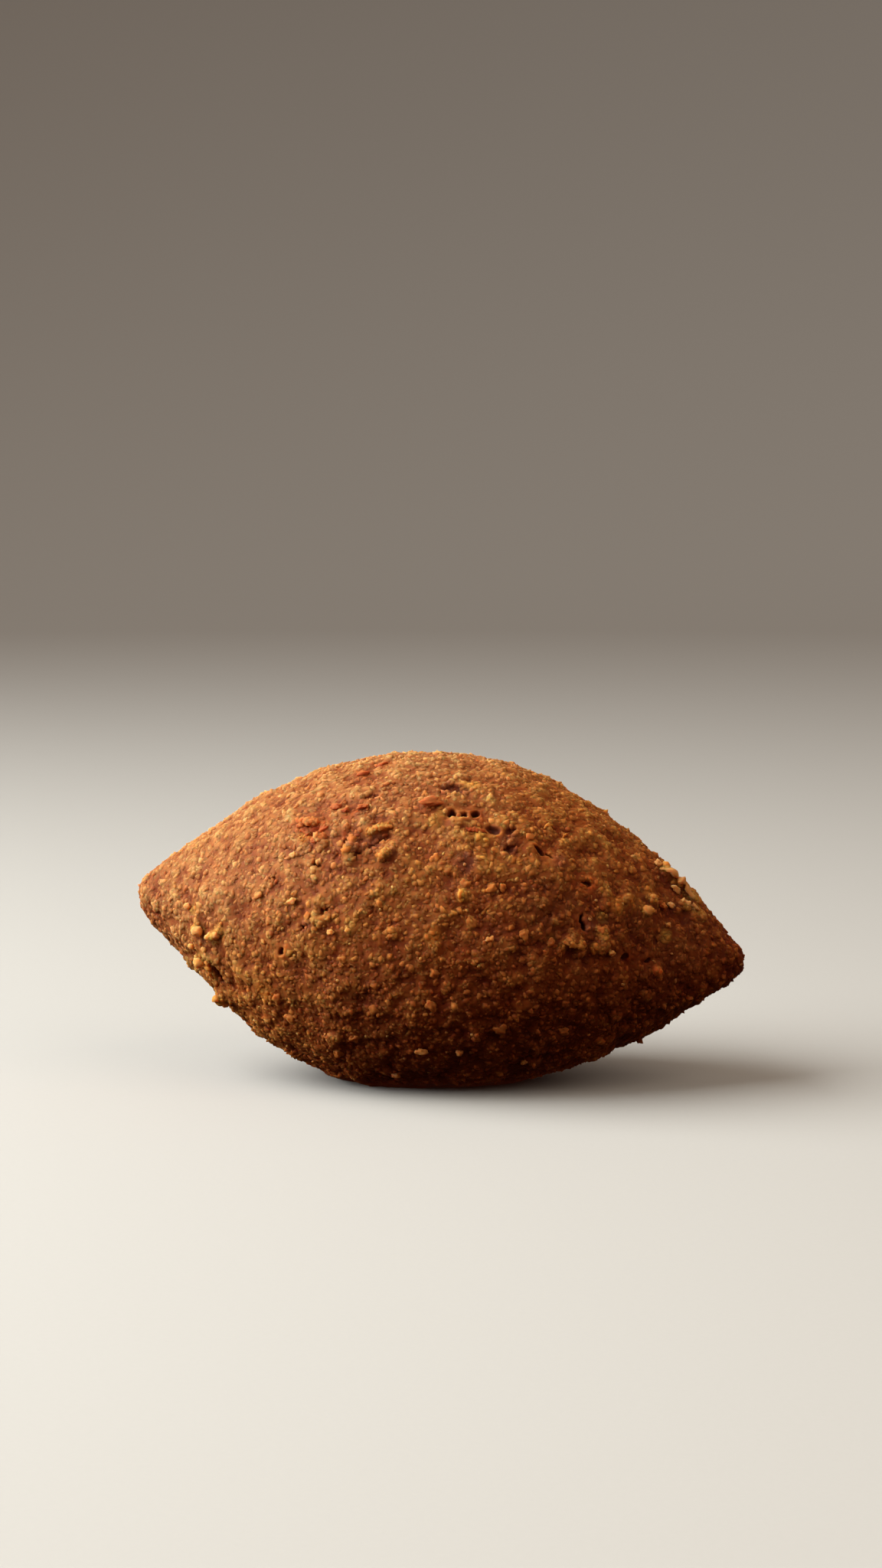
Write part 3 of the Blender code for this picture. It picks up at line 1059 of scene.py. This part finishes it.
class Scatter:
    """A Geometry Nodes tree that strews lumps over the crust, as one realized mesh."""

    def __init__(self, name: str) -> None:
        """Starts the tree.

        Args:
            name: The tree's name.
        """
        self.group = bpy.data.node_groups.new(name, "GeometryNodeTree")
        for way in ("INPUT", "OUTPUT"):
            self.group.interface.new_socket("Geometry", in_out=way, socket_type="NodeSocketGeometry")
        self.start = self.node("NodeGroupInput", {}, {})
        self.end = self.node("NodeGroupOutput", {}, {})

    def node(self, kind: str, settings: dict, inputs: dict) -> bpy.types.Node:
        """Adds a node.

        Args:
            kind: The node's type.
            settings: Its properties by name.
            inputs: Its sockets by name, or by number where names repeat: a socket or a value.

        Returns:
            The new node.
        """
        made = self.group.nodes.new(kind)
        for name, setting in settings.items():
            setattr(made, name, setting)
        for name, given in inputs.items():
            socket = made.inputs[name] if isinstance(name, int) else socket_named(made.inputs, name)
            if isinstance(given, bpy.types.NodeSocket):
                self.group.links.new(given, socket)
            else:
                socket.default_value = given
        return made

    def draw(self, kind: str, low: object, high: object, seed: int) -> bpy.types.NodeSocket:
        """A chance value for each point.

        Args:
            kind: FLOAT or FLOAT_VECTOR.
            low: The lowest value.
            high: The highest value.
            seed: The draw's seed.

        Returns:
            The socket with the value.
        """
        inputs = {"Min": low, "Max": high, "Seed": seed}
        made = self.node("FunctionNodeRandomValue", {"data_type": kind}, inputs)
        return socket_named(made.outputs, "Value")


@dataclass
class Cover:
    """Pieces of one kind that lie on the crust, as one mesh with one finish.

    In each kind, "apart" and "shade_apart" say how far apart in the noise the numbered pieces are,
    so that their shapes and shades don't repeat.
    """

    name: str
    finish: GrainFinish
    piece: bpy.types.Object = field(init=False)

    def form(self, bm: bmesh.types.BMesh, shades: Sequence[float]) -> None:
        """Makes the mesh of what has been modelled.

        Args:
            bm: The modelled pieces.
            shades: How light each of their points is, from 0 to 1.
        """
        self.piece = linked(self.name, bpy.data.meshes.new(self.name))
        bm.to_mesh(self.piece.data)
        bm.free()
        store_on(self.piece.data, "shade", shades)

    def dress(self) -> None:
        """Gives the pieces their finish."""
        settle_piece(self.piece, self.finish.material())


@dataclass
class Grains(Cover):
    """One kind of grain, strewn over the crust and sunk into it."""

    spacing: float
    share: float
    smallest: tuple[float, float, float]
    largest: tuple[float, float, float]
    sunk: float
    seed: int
    detail: int = 1
    shapes: int = 8
    tilt: float = 35.0
    unevenness: float = 0.26
    wave: float = 2.1
    apart: float = 3.7
    crowding: float = 4.0
    lowest: float = 1.2
    fade: float = 0.5
    clearance: float = 0.42

    def lumps(self) -> bpy.types.Collection:
        """The few rough lumps that the grains repeat.

        Returns:
            A collection of them, outside the scene.
        """
        lumps = bpy.data.collections.new(f"{self.name} lumps")
        for number in range(self.shapes):
            bm = bmesh.new()
            bmesh.ops.create_icosphere(bm, subdivisions=self.detail, radius=0.5)
            place = Vector((number * self.apart, self.seed, 0))
            for vertex in bm.verts:
                shake = noise.noise(vertex.co * self.wave + place)
                vertex.co *= 1 + self.unevenness * shake * NOISE_GAIN
            mesh = bpy.data.meshes.new(f"{self.name} lump {number}")
            bm.to_mesh(mesh)
            bm.free()
            lumps.objects.link(bpy.data.objects.new(mesh.name, mesh))
        return lumps

    def mark_where(self, crust: Crust) -> None:
        """Stores on the crust how thickly these grains lie at each point.

        Args:
            crust: The crust.
        """
        mesh = crust.piece.data
        up = points_of(mesh)[:, 2] / MM
        clear = np.empty(len(up))
        mesh.attributes["clear"].data.foreach_get("value", clear)
        share = np.clip((up - self.lowest) / self.fade, 0, 1)
        crust.store(f"lay {self.name}", share * (clear > self.clearance * self.largest[0]))

    def strewn(self, lumps: bpy.types.Collection) -> bpy.types.GeometryNodeTree:
        """The tree that strews the lumps.

        Args:
            lumps: The lumps to repeat.

        Returns:
            The finished tree.
        """
        tree = Scatter(self.name)
        lay = tree.node(
            "GeometryNodeInputNamedAttribute",
            {"data_type": "FLOAT"},
            {"Name": f"lay {self.name}"},
        )
        lay_share = tree.node(
            "ShaderNodeMath",
            {"operation": "MULTIPLY"},
            {0: socket_named(lay.outputs, "Attribute"), 1: self.share},
        )
        points = tree.node(
            "GeometryNodeDistributePointsOnFaces",
            {"distribute_method": "POISSON"},
            {
                "Mesh": tree.start.outputs[0],
                "Distance Min": self.spacing * MM,
                "Density Max": self.crowding / (self.spacing * MM) ** 2,
                "Density Factor": lay_share.outputs[0],
                "Seed": self.seed,
            },
        )
        chance = tree.draw("FLOAT", 0.0, 1.0, self.seed + 1)
        shade = tree.node(
            "GeometryNodeStoreNamedAttribute",
            {"data_type": "FLOAT", "domain": "POINT"},
            {"Geometry": points.outputs["Points"], "Name": "shade", "Value": chance},
        )
        depth = tree.node(
            "ShaderNodeVectorMath",
            {"operation": "SCALE"},
            {"Vector": points.outputs["Normal"], "Scale": -self.sunk * MM},
        )
        sunk = tree.node(
            "GeometryNodeSetPosition",
            {},
            {"Geometry": shade.outputs[0], "Offset": depth.outputs[0]},
        )
        lean = math.radians(self.tilt)
        turn = tree.draw("FLOAT_VECTOR", (-lean, -lean, 0.0), (lean, lean, math.tau), self.seed + 2)
        euler = tree.node("FunctionNodeEulerToRotation", {}, {"Euler": turn})
        turned = tree.node(
            "FunctionNodeRotateRotation",
            {"rotation_space": "LOCAL"},
            {"Rotation": points.outputs["Rotation"], "Rotate By": euler.outputs[0]},
        )
        stock = tree.node(
            "GeometryNodeCollectionInfo",
            {},
            {"Collection": lumps, "Separate Children": True, "Reset Children": True},
        )
        small, large = (tuple(size * MM for size in sizes) for sizes in (self.smallest, self.largest))
        laid = tree.node(
            "GeometryNodeInstanceOnPoints",
            {},
            {
                "Points": sunk.outputs[0],
                "Instance": stock.outputs[0],
                "Pick Instance": True,
                "Rotation": turned.outputs[0],
                "Scale": tree.draw("FLOAT_VECTOR", small, large, self.seed + 3),
            },
        )
        real = tree.node("GeometryNodeRealizeInstances", {}, {"Geometry": laid.outputs[0]})
        tree.group.links.new(real.outputs[0], tree.end.inputs[0])
        return tree.group

    def build(self, crust: Crust) -> None:
        """Strews the grains over the crust as one mesh.

        Args:
            crust: The crust that carries them.
        """
        lumps = self.lumps()
        self.mark_where(crust)
        bed = linked(self.name, crust.piece.data.copy())
        strew = bed.modifiers.new("Strewn", "NODES")
        strew.node_group = self.strewn(lumps)
        mesh = finished(bed, self.name)
        bed.modifiers.clear()
        bed.data = mesh
        self.piece = bed
        for lump in list(lumps.objects):
            bpy.data.objects.remove(lump, do_unlink=True)
        bpy.data.collections.remove(lumps)
        crust.piece.data.attributes.remove(crust.piece.data.attributes[f"lay {self.name}"])


@dataclass(frozen=True)
class Bit:
    """One crumb, grain or flake at a place of its own; sizes in mm, angles in degrees."""

    along: float
    turn: float
    length: float
    width: float
    thickness: float
    heading: float = 0.0
    lift: float = 0.3
    pitch: float = 0.0


@dataclass
class Bits(Cover):
    """Crumbs or flakes of one kind, each at its own place."""

    rows: tuple[Bit, ...]
    unevenness: float = 0.3
    wave: float = 2.4
    layers: int = 2
    layer_fade: float = 0.7
    apart: float = 5.1
    shade_apart: float = 1.7
    detail: int = 3
    seed: int = 5

    def build(self, crust: Crust) -> None:
        """Sets each bit on the crust.

        Args:
            crust: The crust that carries them.
        """
        bm = bmesh.new()
        shades: list[float] = []
        for number, bit in enumerate(self.rows):
            axes = crust.footing(Spot(bit.along, bit.turn), bit.heading)
            pitched = Matrix.Rotation(math.radians(bit.pitch), 4, "Y")
            raised = Matrix.Translation((0, 0, bit.lift * MM)) @ pitched
            sizes = Matrix.Diagonal((bit.length * MM, bit.width * MM, bit.thickness * MM, 1.0))
            made = bmesh.ops.create_icosphere(bm, subdivisions=self.detail, radius=0.5)["verts"]
            place = Vector((number * self.apart, self.seed, 0))
            for vertex in made:
                away = vertex.co * self.wave + place
                shake = noise.fractal(away, self.layer_fade, FINER, self.layers)
                vertex.co *= 1 + self.unevenness * NOISE_GAIN * shake
            bmesh.ops.transform(bm, matrix=axes @ raised @ sizes, verts=made)
            shades += [chance_of(number * self.shade_apart, self.seed)] * len(made)
        self.form(bm, shades)


@dataclass(frozen=True)
class Shred:
    """One strand of meat or batter: the (along, turn) places that it runs over and its size in mm."""

    path: tuple[tuple[float, float], ...]
    width: float
    thickness: float
    lift: float = 0.1


@dataclass
class Shreds(Cover):
    """Strands that lie on the crust and sink into it at both ends."""

    rows: tuple[Shred, ...]
    steps: int = 22
    sides: int = 12
    unevenness: float = 0.5
    wave: float = 9.0
    apart: float = 7.7
    shade_apart: float = 2.3
    blunt: float = 0.06
    crumble: float = 0.22
    crumble_mm: float = 0.7
    seed: int = 9

    def build(self, crust: Crust) -> None:
        """Sweeps each strand along its path on the crust.

        Args:
            crust: The crust that carries them.
        """
        bm = bmesh.new()
        shades: list[float] = []
        for number, shred in enumerate(self.rows):
            before = len(bm.verts)
            self.sweep(bm, crust, shred, number)
            shades += [chance_of(number * self.shade_apart, self.seed)] * (len(bm.verts) - before)
        bmesh.ops.recalc_face_normals(bm, faces=bm.faces)
        self.form(bm, shades)

    def place(self, shred: Shred, share: float) -> Spot:
        """Finds a place on a strand's path.

        Args:
            shred: The strand.
            share: How far along the path, from 0 to 1.

        Returns:
            The place.
        """
        reach = share * (len(shred.path) - 1)
        leg = min(int(reach), len(shred.path) - 2)
        part = reach - leg
        (along, turn), (next_along, next_turn) = shred.path[leg:leg + 2]
        return Spot(along + (next_along - along) * part, turn + (next_turn - turn) * part)

    def sweep(self, bm: bmesh.types.BMesh, crust: Crust, shred: Shred, number: int) -> None:
        """Joins rings along one strand.

        Args:
            bm: The mesh to add to.
            crust: The crust.
            shred: The strand.
            number: Its number, which seeds its unevenness.
        """
        spots = [self.place(shred, step / self.steps) for step in range(self.steps + 1)]
        frames = [crust.footing(spot) for spot in spots]
        rings = []
        for step, axes in enumerate(frames):
            share = step / self.steps
            after, before = frames[min(step + 1, self.steps)], frames[max(step - 1, 0)]
            ahead = after.translation - before.translation
            out = axes.to_3x3() @ Vector((0, 0, 1))
            side = out.cross(ahead).normalized()
            bulge = math.sin(math.pi * (self.blunt + (1 - 2 * self.blunt) * share)) ** 0.5
            place = Vector((number * self.apart, share * self.wave, self.seed))
            shake = 1 + self.unevenness * 2 * noise.noise(place)
            turned = Matrix((side, out, ahead.normalized())).transposed().to_4x4()
            turned.translation = axes.translation + out * (shred.lift * bulge) * MM
            wide, thick = (size / 2 * bulge * shake * MM for size in (shred.width, shred.thickness))
            matrix = turned @ Matrix.Diagonal((wide, thick, 1, 1))
            ring = bmesh.ops.create_circle(bm, segments=self.sides, radius=1.0, matrix=matrix)["verts"]
            rings.append(list({edge for vertex in ring for edge in vertex.link_edges}))
            for vertex in ring:
                crumbled = noise.noise_vector(vertex.co / (self.crumble_mm * MM))
                vertex.co += self.crumble * MM * crumbled
        for one, two in zip(rings, rings[1:]):
            bmesh.ops.bridge_loops(bm, edges=one + two)
        bmesh.ops.holes_fill(bm, edges=rings[0] + rings[-1], sides=self.sides)


BULGUR = GrainFinish("golden_bulgur", level=0.56)
AMBER = GrainFinish("amber_bulgur", level=0.52)
TAN = GrainFinish("tan_crumb", level=0.48)
RUDDY = GrainFinish("ruddy_mince", level=0.40)
# Pale bulgur, partly painted glints: its small pale grains and specks also stand for tiny highlights
PALE_AND_GLINTS = GrainFinish("pale_bulgur", level=0.75, paleness=0.45, pale=(0.78, 0.38, 0.12), roughness=0.4,
                   gloss=0.2)
FINE = GrainFinish("fine_bulgur", level=0.50)
BROWN = GrainFinish("browned_bulgur", level=0.44)
CRUMB = GrainFinish("browned_crumb", level=0.42)
LUMP = GrainFinish("golden_lump", level=0.28, paleness=0.55, pale=(0.62, 0.215, 0.040))
BALL = GrainFinish("golden_ball", level=0.8, paleness=0.4, pale=(0.84, 0.39, 0.12), roughness=0.45)
FLAKE = GrainFinish("pale_flake", level=0.85, paleness=0.6, pale=(0.84, 0.46, 0.18), roughness=0.45)
OCHRE = GrainFinish("ochre_strip", level=0.5, paleness=0.5, pale=(0.62, 0.215, 0.030), bump_mm=0.2)
RED = GrainFinish("red_shred", level=0.2, paleness=0.5, pale=(0.40, 0.050, 0.007), bump_mm=0.2)

# A lump's length, width and thickness as parts of its size, its turn for each mm along, and its lift
LUMP_PARTS = (1.15, 0.9, 0.7)
LUMP_TURN = 37
LUMP_LIFT = -0.15


def make_grains() -> list[Grains]:
    """The kinds of grain, from the most common to the rarest.

    Returns:
        The kinds, not built yet.
    """
    small, large = (1.15, 1.10, 0.90), (2.05, 1.65, 1.30)
    least, fine = (0.85, 0.75, 0.70), (1.35, 1.10, 0.95)
    return [
        Grains("golden_grains", BULGUR, 1.25, 1.0, small, large, 0.40, 21),
        Grains("amber_grains", AMBER, 1.25, 1.0, small, large, 0.42, 45),
        Grains("tan_grains", TAN, 1.25, 1.0, small, large, 0.44, 71),
        Grains("ruddy_grains", RUDDY, 1.25, 1.0, small, large, 0.46, 33),
        Grains("fine_grains", FINE, 1.25, 1.0, least, fine, 0.30, 14),
        Grains("brown_grains", BROWN, 1.25, 1.0, least, fine, 0.32, 62),
        Grains("pale_grains", PALE_AND_GLINTS, 3.2, 0.30, (0.45, 0.40, 0.35), (0.95, 0.80, 0.60), 0.0, 47),
        Grains("crumbs", CRUMB, 2.7, 0.8, (1.6, 1.4, 1.1), (2.5, 2.0, 1.4), 0.60, 58, detail=2),
    ]


def lump_at(along: float, turn: float, size: float) -> Bit:
    """Lays out a low golden lump.

    Args:
        along: Its distance along, in mm.
        turn: Its turn, in degrees.
        size: Its size, in mm.

    Returns:
        The lump, longer than wide, sunk in and headed its own way.
    """
    length, width, thickness = (size * part for part in LUMP_PARTS)
    return Bit(along, turn, length, width, thickness, (along * LUMP_TURN) % 180, LUMP_LIFT)


def make_bits() -> list[Bits]:
    """The crumbs and flakes that have places of their own.

    Returns:
        The kinds, not built yet.
    """
    lumps = tuple(lump_at(*row) for row in (
        (14.5, -26.1, 1.9), (3.5, -17.2, 1.9), (11.0, 24.0, 1.6), (12.6, 25.0, 1.3), (3.7, -6.1, 1.5),
        (7.0, 23.7, 1.8), (-10.9, -5.3, 1.5), (-6.1, 14.5, 1.7), (-21.9, -29.1, 1.8), (-8.5, -34.5, 1.8),
        (15.8, 45.9, 1.6), (19.1, -16.7, 1.4), (31.5, 33.2, 1.6), (-3.5, 4.5, 1.7), (16.8, 9.6, 1.6),
        (-5.3, -21.3, 1.7), (-9.2, -23.4, 1.7), (8.5, 11.8, 1.8), (-19.5, -36.7, 1.7), (-17.4, 7.2, 1.6),
        (-12.0, 35.3, 1.7), (10.5, 37.8, 1.6), (23.8, -31.6, 1.7), (3.9, -45.6, 1.5), (-11.5, -45.6, 1.8),
        (28.5, 15.4, 1.5), (20.9, 7.7, 1.5), (25.7, 5.3, 1.5), (1.5, 31.0, 1.7), (-2.0, 56.2, 1.5),
    ))
    balls = each(
        Bit,
        (-37.0, -12.6, 1.9, 1.8, 1.7, 20, 0.1), (-34.6, -13.5, 1.7, 1.5, 1.5, 30, 0.1),
        (-33.4, -10.6, 1.5, 1.4, 1.3, 80, 0.1), (-36.7, -36.0, 2.1, 1.8, 1.8, 10, 0.15),
        (-38.1, -29.0, 1.1, 1.0, 1.0, 0, 0.35), (-35.5, -24.0, 1.1, 1.0, 0.9, 0, 0.35),
        (-32.2, -60.0, 2.0, 1.5, 1.6, 60, 0.2), (34.8, 33.0, 1.6, 1.8, 1.3, 40, 0.05),
        (35.3, 43.5, 1.1, 1.0, 1.0, 0, 0.1), (-39.2, 2.0, 1.3, 1.1, 1.0, 0, 0.35),
    )
    flakes = each(
        Bit,
        (34.9, 73.0, 1.2, 1.1, 1.1, 0, 0.6), (38.4, 65.0, 1.8, 0.9, 0.8, -15, 0.2, 5),
        (41.6, 60.0, 1.6, 1.0, 0.8, -5, 0.2, -6), (37.9, 49.0, 1.4, 0.9, 0.7, 10, 0.3),
    )
    specks = each(
        Bit,
        (-20.3, 12.0, 1.5, 1.0, 0.8, 30, 0.4), (-13.2, 3.0, 1.1, 0.9, 0.8, 0, 0.4),
        (29.9, 6.0, 1.0, 0.9, 0.8, 0, 0.5), (37.8, 30.0, 0.9, 0.8, 0.7, 0, 0.5),
        (11.7, 6.9, 1.3, 1.0, 0.8, 20, 0.4), (2.2, -36.0, 1.6, 1.2, 1.0, -20, 0.4),
        (8.1, -36.0, 1.2, 1.0, 0.8, 0, 0.4), (-2.2, -52.0, 1.3, 1.0, 0.8, 0, 0.4),
        (17.8, -46.0, 1.0, 0.9, 0.7, 0, 0.3), (-21.2, 30.0, 1.2, 0.9, 0.8, 10, 0.35),
        (1.75, 49.0, 0.9, 0.7, 0.6, 80, 0.15), (3.95, 46.2, 0.9, 0.6, 0.5, 20, 0.1),
    )
    reds = each(
        Bit,
        (36.7, 42.6, 1.2, 0.9, 0.9, 30, 0.4), (-0.7, 51.2, 3.2, 1.6, 0.9, 12, 0.1),
        (-19.6, 38.5, 2.0, 0.9, 0.7, 20, 0.15), (-18.2, 35.0, 1.2, 0.8, 0.7, -30, 0.2),
        (-14.2, 47.5, 1.6, 0.9, 0.7, 25, 0.1), (-11.4, 48.5, 1.7, 0.8, 0.7, 15, 0.1),
        (-21.0, 42.5, 1.3, 0.8, 0.7, 0, 0.2), (-13.0, 68.0, 1.9, 1.2, 0.8, 20, 0.1),
        (-10.4, 74.0, 1.8, 1.1, 0.8, 30, 0.1), (-15.8, 49.4, 1.8, 1.3, 0.8, 0, 0.1),
        (-18.4, 41.0, 3.0, 1.6, 1.1, 20, 0.1), (-20.2, 40.4, 2.2, 1.4, 1.0, -20, 0.1),
        (-17.0, 40.4, 1.8, 1.3, 1.0, 50, 0.1),
    )
    return [
        Bits("golden_lumps", LUMP, lumps, seed=35),
        Bits("golden_balls", BALL, balls, unevenness=0.16),
        Bits("pale_flakes", FLAKE, flakes, unevenness=0.34),
        Bits("pale_specks", PALE_AND_GLINTS, specks, seed=15),
        Bits("red_bits", RED, reds, unevenness=0.35, seed=25),
    ]


def make_shreds() -> list[Shreds]:
    """The strands of batter and meat.

    Returns:
        The kinds, not built yet.
    """
    ochre = (
        Shred(((-9.8, 37.6), (-8.0, 39.6), (-6.0, 41.2)), 1.0, 0.8, 0.0),
        Shred(((-7.0, 28.6), (-6.2, 30.5), (-5.4, 32.4)), 1.1, 0.8, 0.0),
        Shred(((22.8, 8.8), (24.6, 7.6), (26.4, 7.8)), 0.9, 0.6, 0.0),
        Shred(((-35.2, -31.0), (-34.8, -38.0), (-34.2, -46.0)), 1.1, 1.0, 0.3),
        Shred(((17.3, 51.5), (18.0, 54.0), (18.4, 56.5)), 0.6, 0.5, 0.05),
        Shred(((20.3, 50.6), (20.9, 54.0)), 0.5, 0.4, 0.05),
    )
    meat = (
        Shred(((36.8, -8.0), (37.1, -5.0), (37.3, -2.4)), 0.8, 0.6, 0.05),
        Shred(((5.4, 43.6), (7.2, 43.2), (8.8, 43.6)), 0.9, 0.5, 0.1),
    )
    rinds = (
        Shred(((35.4, 71.0), (36.8, 70.0), (38.4, 70.5), (39.8, 69.0), (41.4, 66.0)), 1.1, 1.0, 0.3),
        Shred(((36.6, 78.0), (38.4, 80.0), (40.2, 78.0)), 0.9, 0.8, 0.3),
        Shred(((39.4, 58.0), (40.6, 57.5), (42.4, 60.0)), 0.9, 0.7, 0.15),
    )
    return [
        Shreds("ochre_strips", OCHRE, ochre),
        Shreds("meat_shreds", RED, meat, seed=19),
        Shreds("pale_rinds", FLAKE, rinds, seed=29),
    ]


def direction(azimuth: float, elevation: float) -> Vector:
    """Finds the way from the kibbeh to a lamp or the camera.

    Args:
        azimuth: The angle from the front towards the right, in radians.
        elevation: The angle above the floor, in radians.

    Returns:
        The way as a unit vector.
    """
    flat = math.cos(elevation)
    return Vector((math.sin(azimuth) * flat, -math.cos(azimuth) * flat, math.sin(elevation)))


class Side(Enum):
    """Where a lamp stands: the azimuth from the front towards the right and the elevation, in degrees."""

    KEY = (-75.0, 35.0)
    FILL = (55.0, 40.0)


@dataclass(frozen=True)
class Lamp:
    """A soft square lamp aimed at the kibbeh."""

    name: str
    side: Side
    distance: float
    width: float
    watts: float
    colour: Colour

    def build(self) -> None:
        """Hangs the lamp."""
        out = direction(*(math.radians(angle) for angle in self.side.value))
        light = bpy.data.lights.new(self.name, "AREA")
        light.size = self.width
        light.energy = self.watts
        light.color = self.colour
        lamp = bpy.data.objects.new(self.name, light)
        lamp.location = BODY_MIDDLE + out * self.distance
        lamp.rotation_euler = out.to_track_quat("Z", "Y").to_euler()
        lamp.visible_camera = False
        bpy.context.scene.collection.objects.link(lamp)


KEY_LAMP = Lamp("key", Side.KEY, 0.75, 0.80, 12.6, (1.0, 1.03, 1.0))
FILL_LAMP = Lamp("fill", Side.FILL, 0.9, 0.7, 2.0, (1.0, 0.84, 0.68))


@dataclass(frozen=True)
class Camera:
    """The photograph's view: a little from the right and above, from 56 cm away."""

    aim: Vector = Vector((1.58 * MM, 0.0, 27.0 * MM))
    aim_pixel: tuple[float, float] = (571.4, 1193.8)
    frame_pixels: tuple[int, int] = (1152, 2048)
    focal_pixels: float = 4469.0
    sensor: float = 36.0
    distance: float = 0.56
    azimuth: float = 8.0
    elevation: float = 8.0
    nearest: float = 0.01

    def build(self) -> None:
        """Sets the camera up."""
        azimuth, elevation = math.radians(self.azimuth), math.radians(self.elevation)
        back = direction(azimuth, elevation)
        width, height = self.frame_pixels
        right = math.atan((width / 2 - self.aim_pixel[0]) / self.focal_pixels)
        up = math.atan((self.aim_pixel[1] - height / 2) / self.focal_pixels)
        data = bpy.data.cameras.new("camera")
        data.sensor_width = self.sensor
        data.lens = self.focal_pixels / height * self.sensor
        data.clip_start = self.nearest
        camera = bpy.data.objects.new("camera", data)
        camera.location = self.aim + back * self.distance
        camera.rotation_euler = (math.pi / 2 - elevation + up, 0.0, azimuth - right)
        bpy.context.scene.collection.objects.link(camera)
        bpy.context.scene.camera = camera


@dataclass(frozen=True)
class Studio:
    """A pale floor that curves up into a pale wall all round, and soft light from above."""

    radius: float = 2.2
    bend: float = 0.9
    height: float = 2.6
    bend_steps: int = 12
    turn_steps: int = 72
    merge: float = 0.1 * MM
    floor_colour: Colour = (0.60, 0.585, 0.56)
    floor_dark: float = 0.97
    floor_grain_mm: float = 0.9
    floor_roughness: float = 0.8
    floor_gloss: float = 0.5
    sky_above: Colour = (0.305, 0.25, 0.205)
    sky_below: Colour = (0.050, 0.026, 0.016)
    sky_span: Span = (-0.2, 0.6)

    def profile(self) -> list[Vector]:
        """Draws half the bowl's outline.

        Returns:
            Its points, from the middle of the floor to the top of the wall.
        """
        turns = [math.pi / 2 * step / self.bend_steps for step in range(self.bend_steps + 1)]
        inner = self.radius - self.bend
        arc = [
            Vector((inner + self.bend * math.sin(turn), 0, self.bend * (1 - math.cos(turn))))
            for turn in turns
        ]
        return [Vector((0, 0, 0)), *arc, Vector((self.radius, 0, self.height))]

    def floor(self) -> None:
        """Builds the floor and the wall as one turned sheet."""
        bm = bmesh.new()
        points = [bm.verts.new(point) for point in self.profile()]
        edges = [bm.edges.new(pair) for pair in zip(points, points[1:])]
        bmesh.ops.spin(bm, geom=points + edges, cent=(0, 0, 0), axis=(0, 0, 1), angle=math.tau,
                       steps=self.turn_steps, use_merge=True)
        bmesh.ops.remove_doubles(bm, verts=bm.verts, dist=self.merge)
        bmesh.ops.recalc_face_normals(bm, faces=bm.faces)
        mesh = bpy.data.meshes.new("floor")
        bm.to_mesh(mesh)
        bm.free()
        mesh.shade_smooth()
        floor = linked("floor", mesh)
        floor.visible_diffuse = False
        floor.visible_glossy = False
        recipe = Recipe("pale_floor")
        pale = tuple(part * self.floor_dark for part in self.floor_colour)
        tone = recipe.mix(recipe.cloud(self.floor_grain_mm), pale, self.floor_colour)
        recipe.surface(tone, self.floor_roughness, self.floor_gloss)
        mesh.materials.append(recipe.material)

    def light(self) -> None:
        """Sets the sky's soft light, which comes from above, and hangs the lamps."""
        world = bpy.data.worlds.new("studio")
        world.use_nodes = True
        tree = world.node_tree
        background = tree.nodes["Background"]
        place = tree.nodes.new("ShaderNodeTexCoord")
        split = tree.nodes.new("ShaderNodeSeparateXYZ")
        above = tree.nodes.new("ShaderNodeMapRange")
        above.inputs["From Min"].default_value, above.inputs["From Max"].default_value = self.sky_span
        blend = tree.nodes.new("ShaderNodeMix")
        blend.data_type = "RGBA"
        blend.inputs[6].default_value = (*self.sky_below, 1.0)
        blend.inputs[7].default_value = (*self.sky_above, 1.0)
        tree.links.new(place.outputs["Generated"], split.inputs[0])
        tree.links.new(split.outputs[2], above.inputs["Value"])
        tree.links.new(above.outputs[0], blend.inputs[0])
        tree.links.new(blend.outputs[2], background.inputs["Color"])
        bpy.context.scene.world = world
        for lamp in (KEY_LAMP, FILL_LAMP):
            lamp.build()

    def build(self) -> None:
        """Builds the whole studio."""
        self.floor()
        self.light()
        bpy.context.scene.view_settings.view_transform = "Standard"


def main() -> None:
    """Builds the kibbeh's looks in order."""
    logging.basicConfig(level=logging.INFO, format="%(message)s")
    noise.seed_set(NOISE_SEED)
    Camera().build()
    Studio().build()
    crust = Crust()
    crust.build()
    kinds = [*make_grains(), *make_bits(), *make_shreds()]
    for kind in kinds:
        kind.build(crust)
    Heights(crust.body_tree).store([made.piece for made in (crust, *kinds)])
    for made in (crust, *kinds):
        made.dress()


if __name__ == "__main__":
    main()
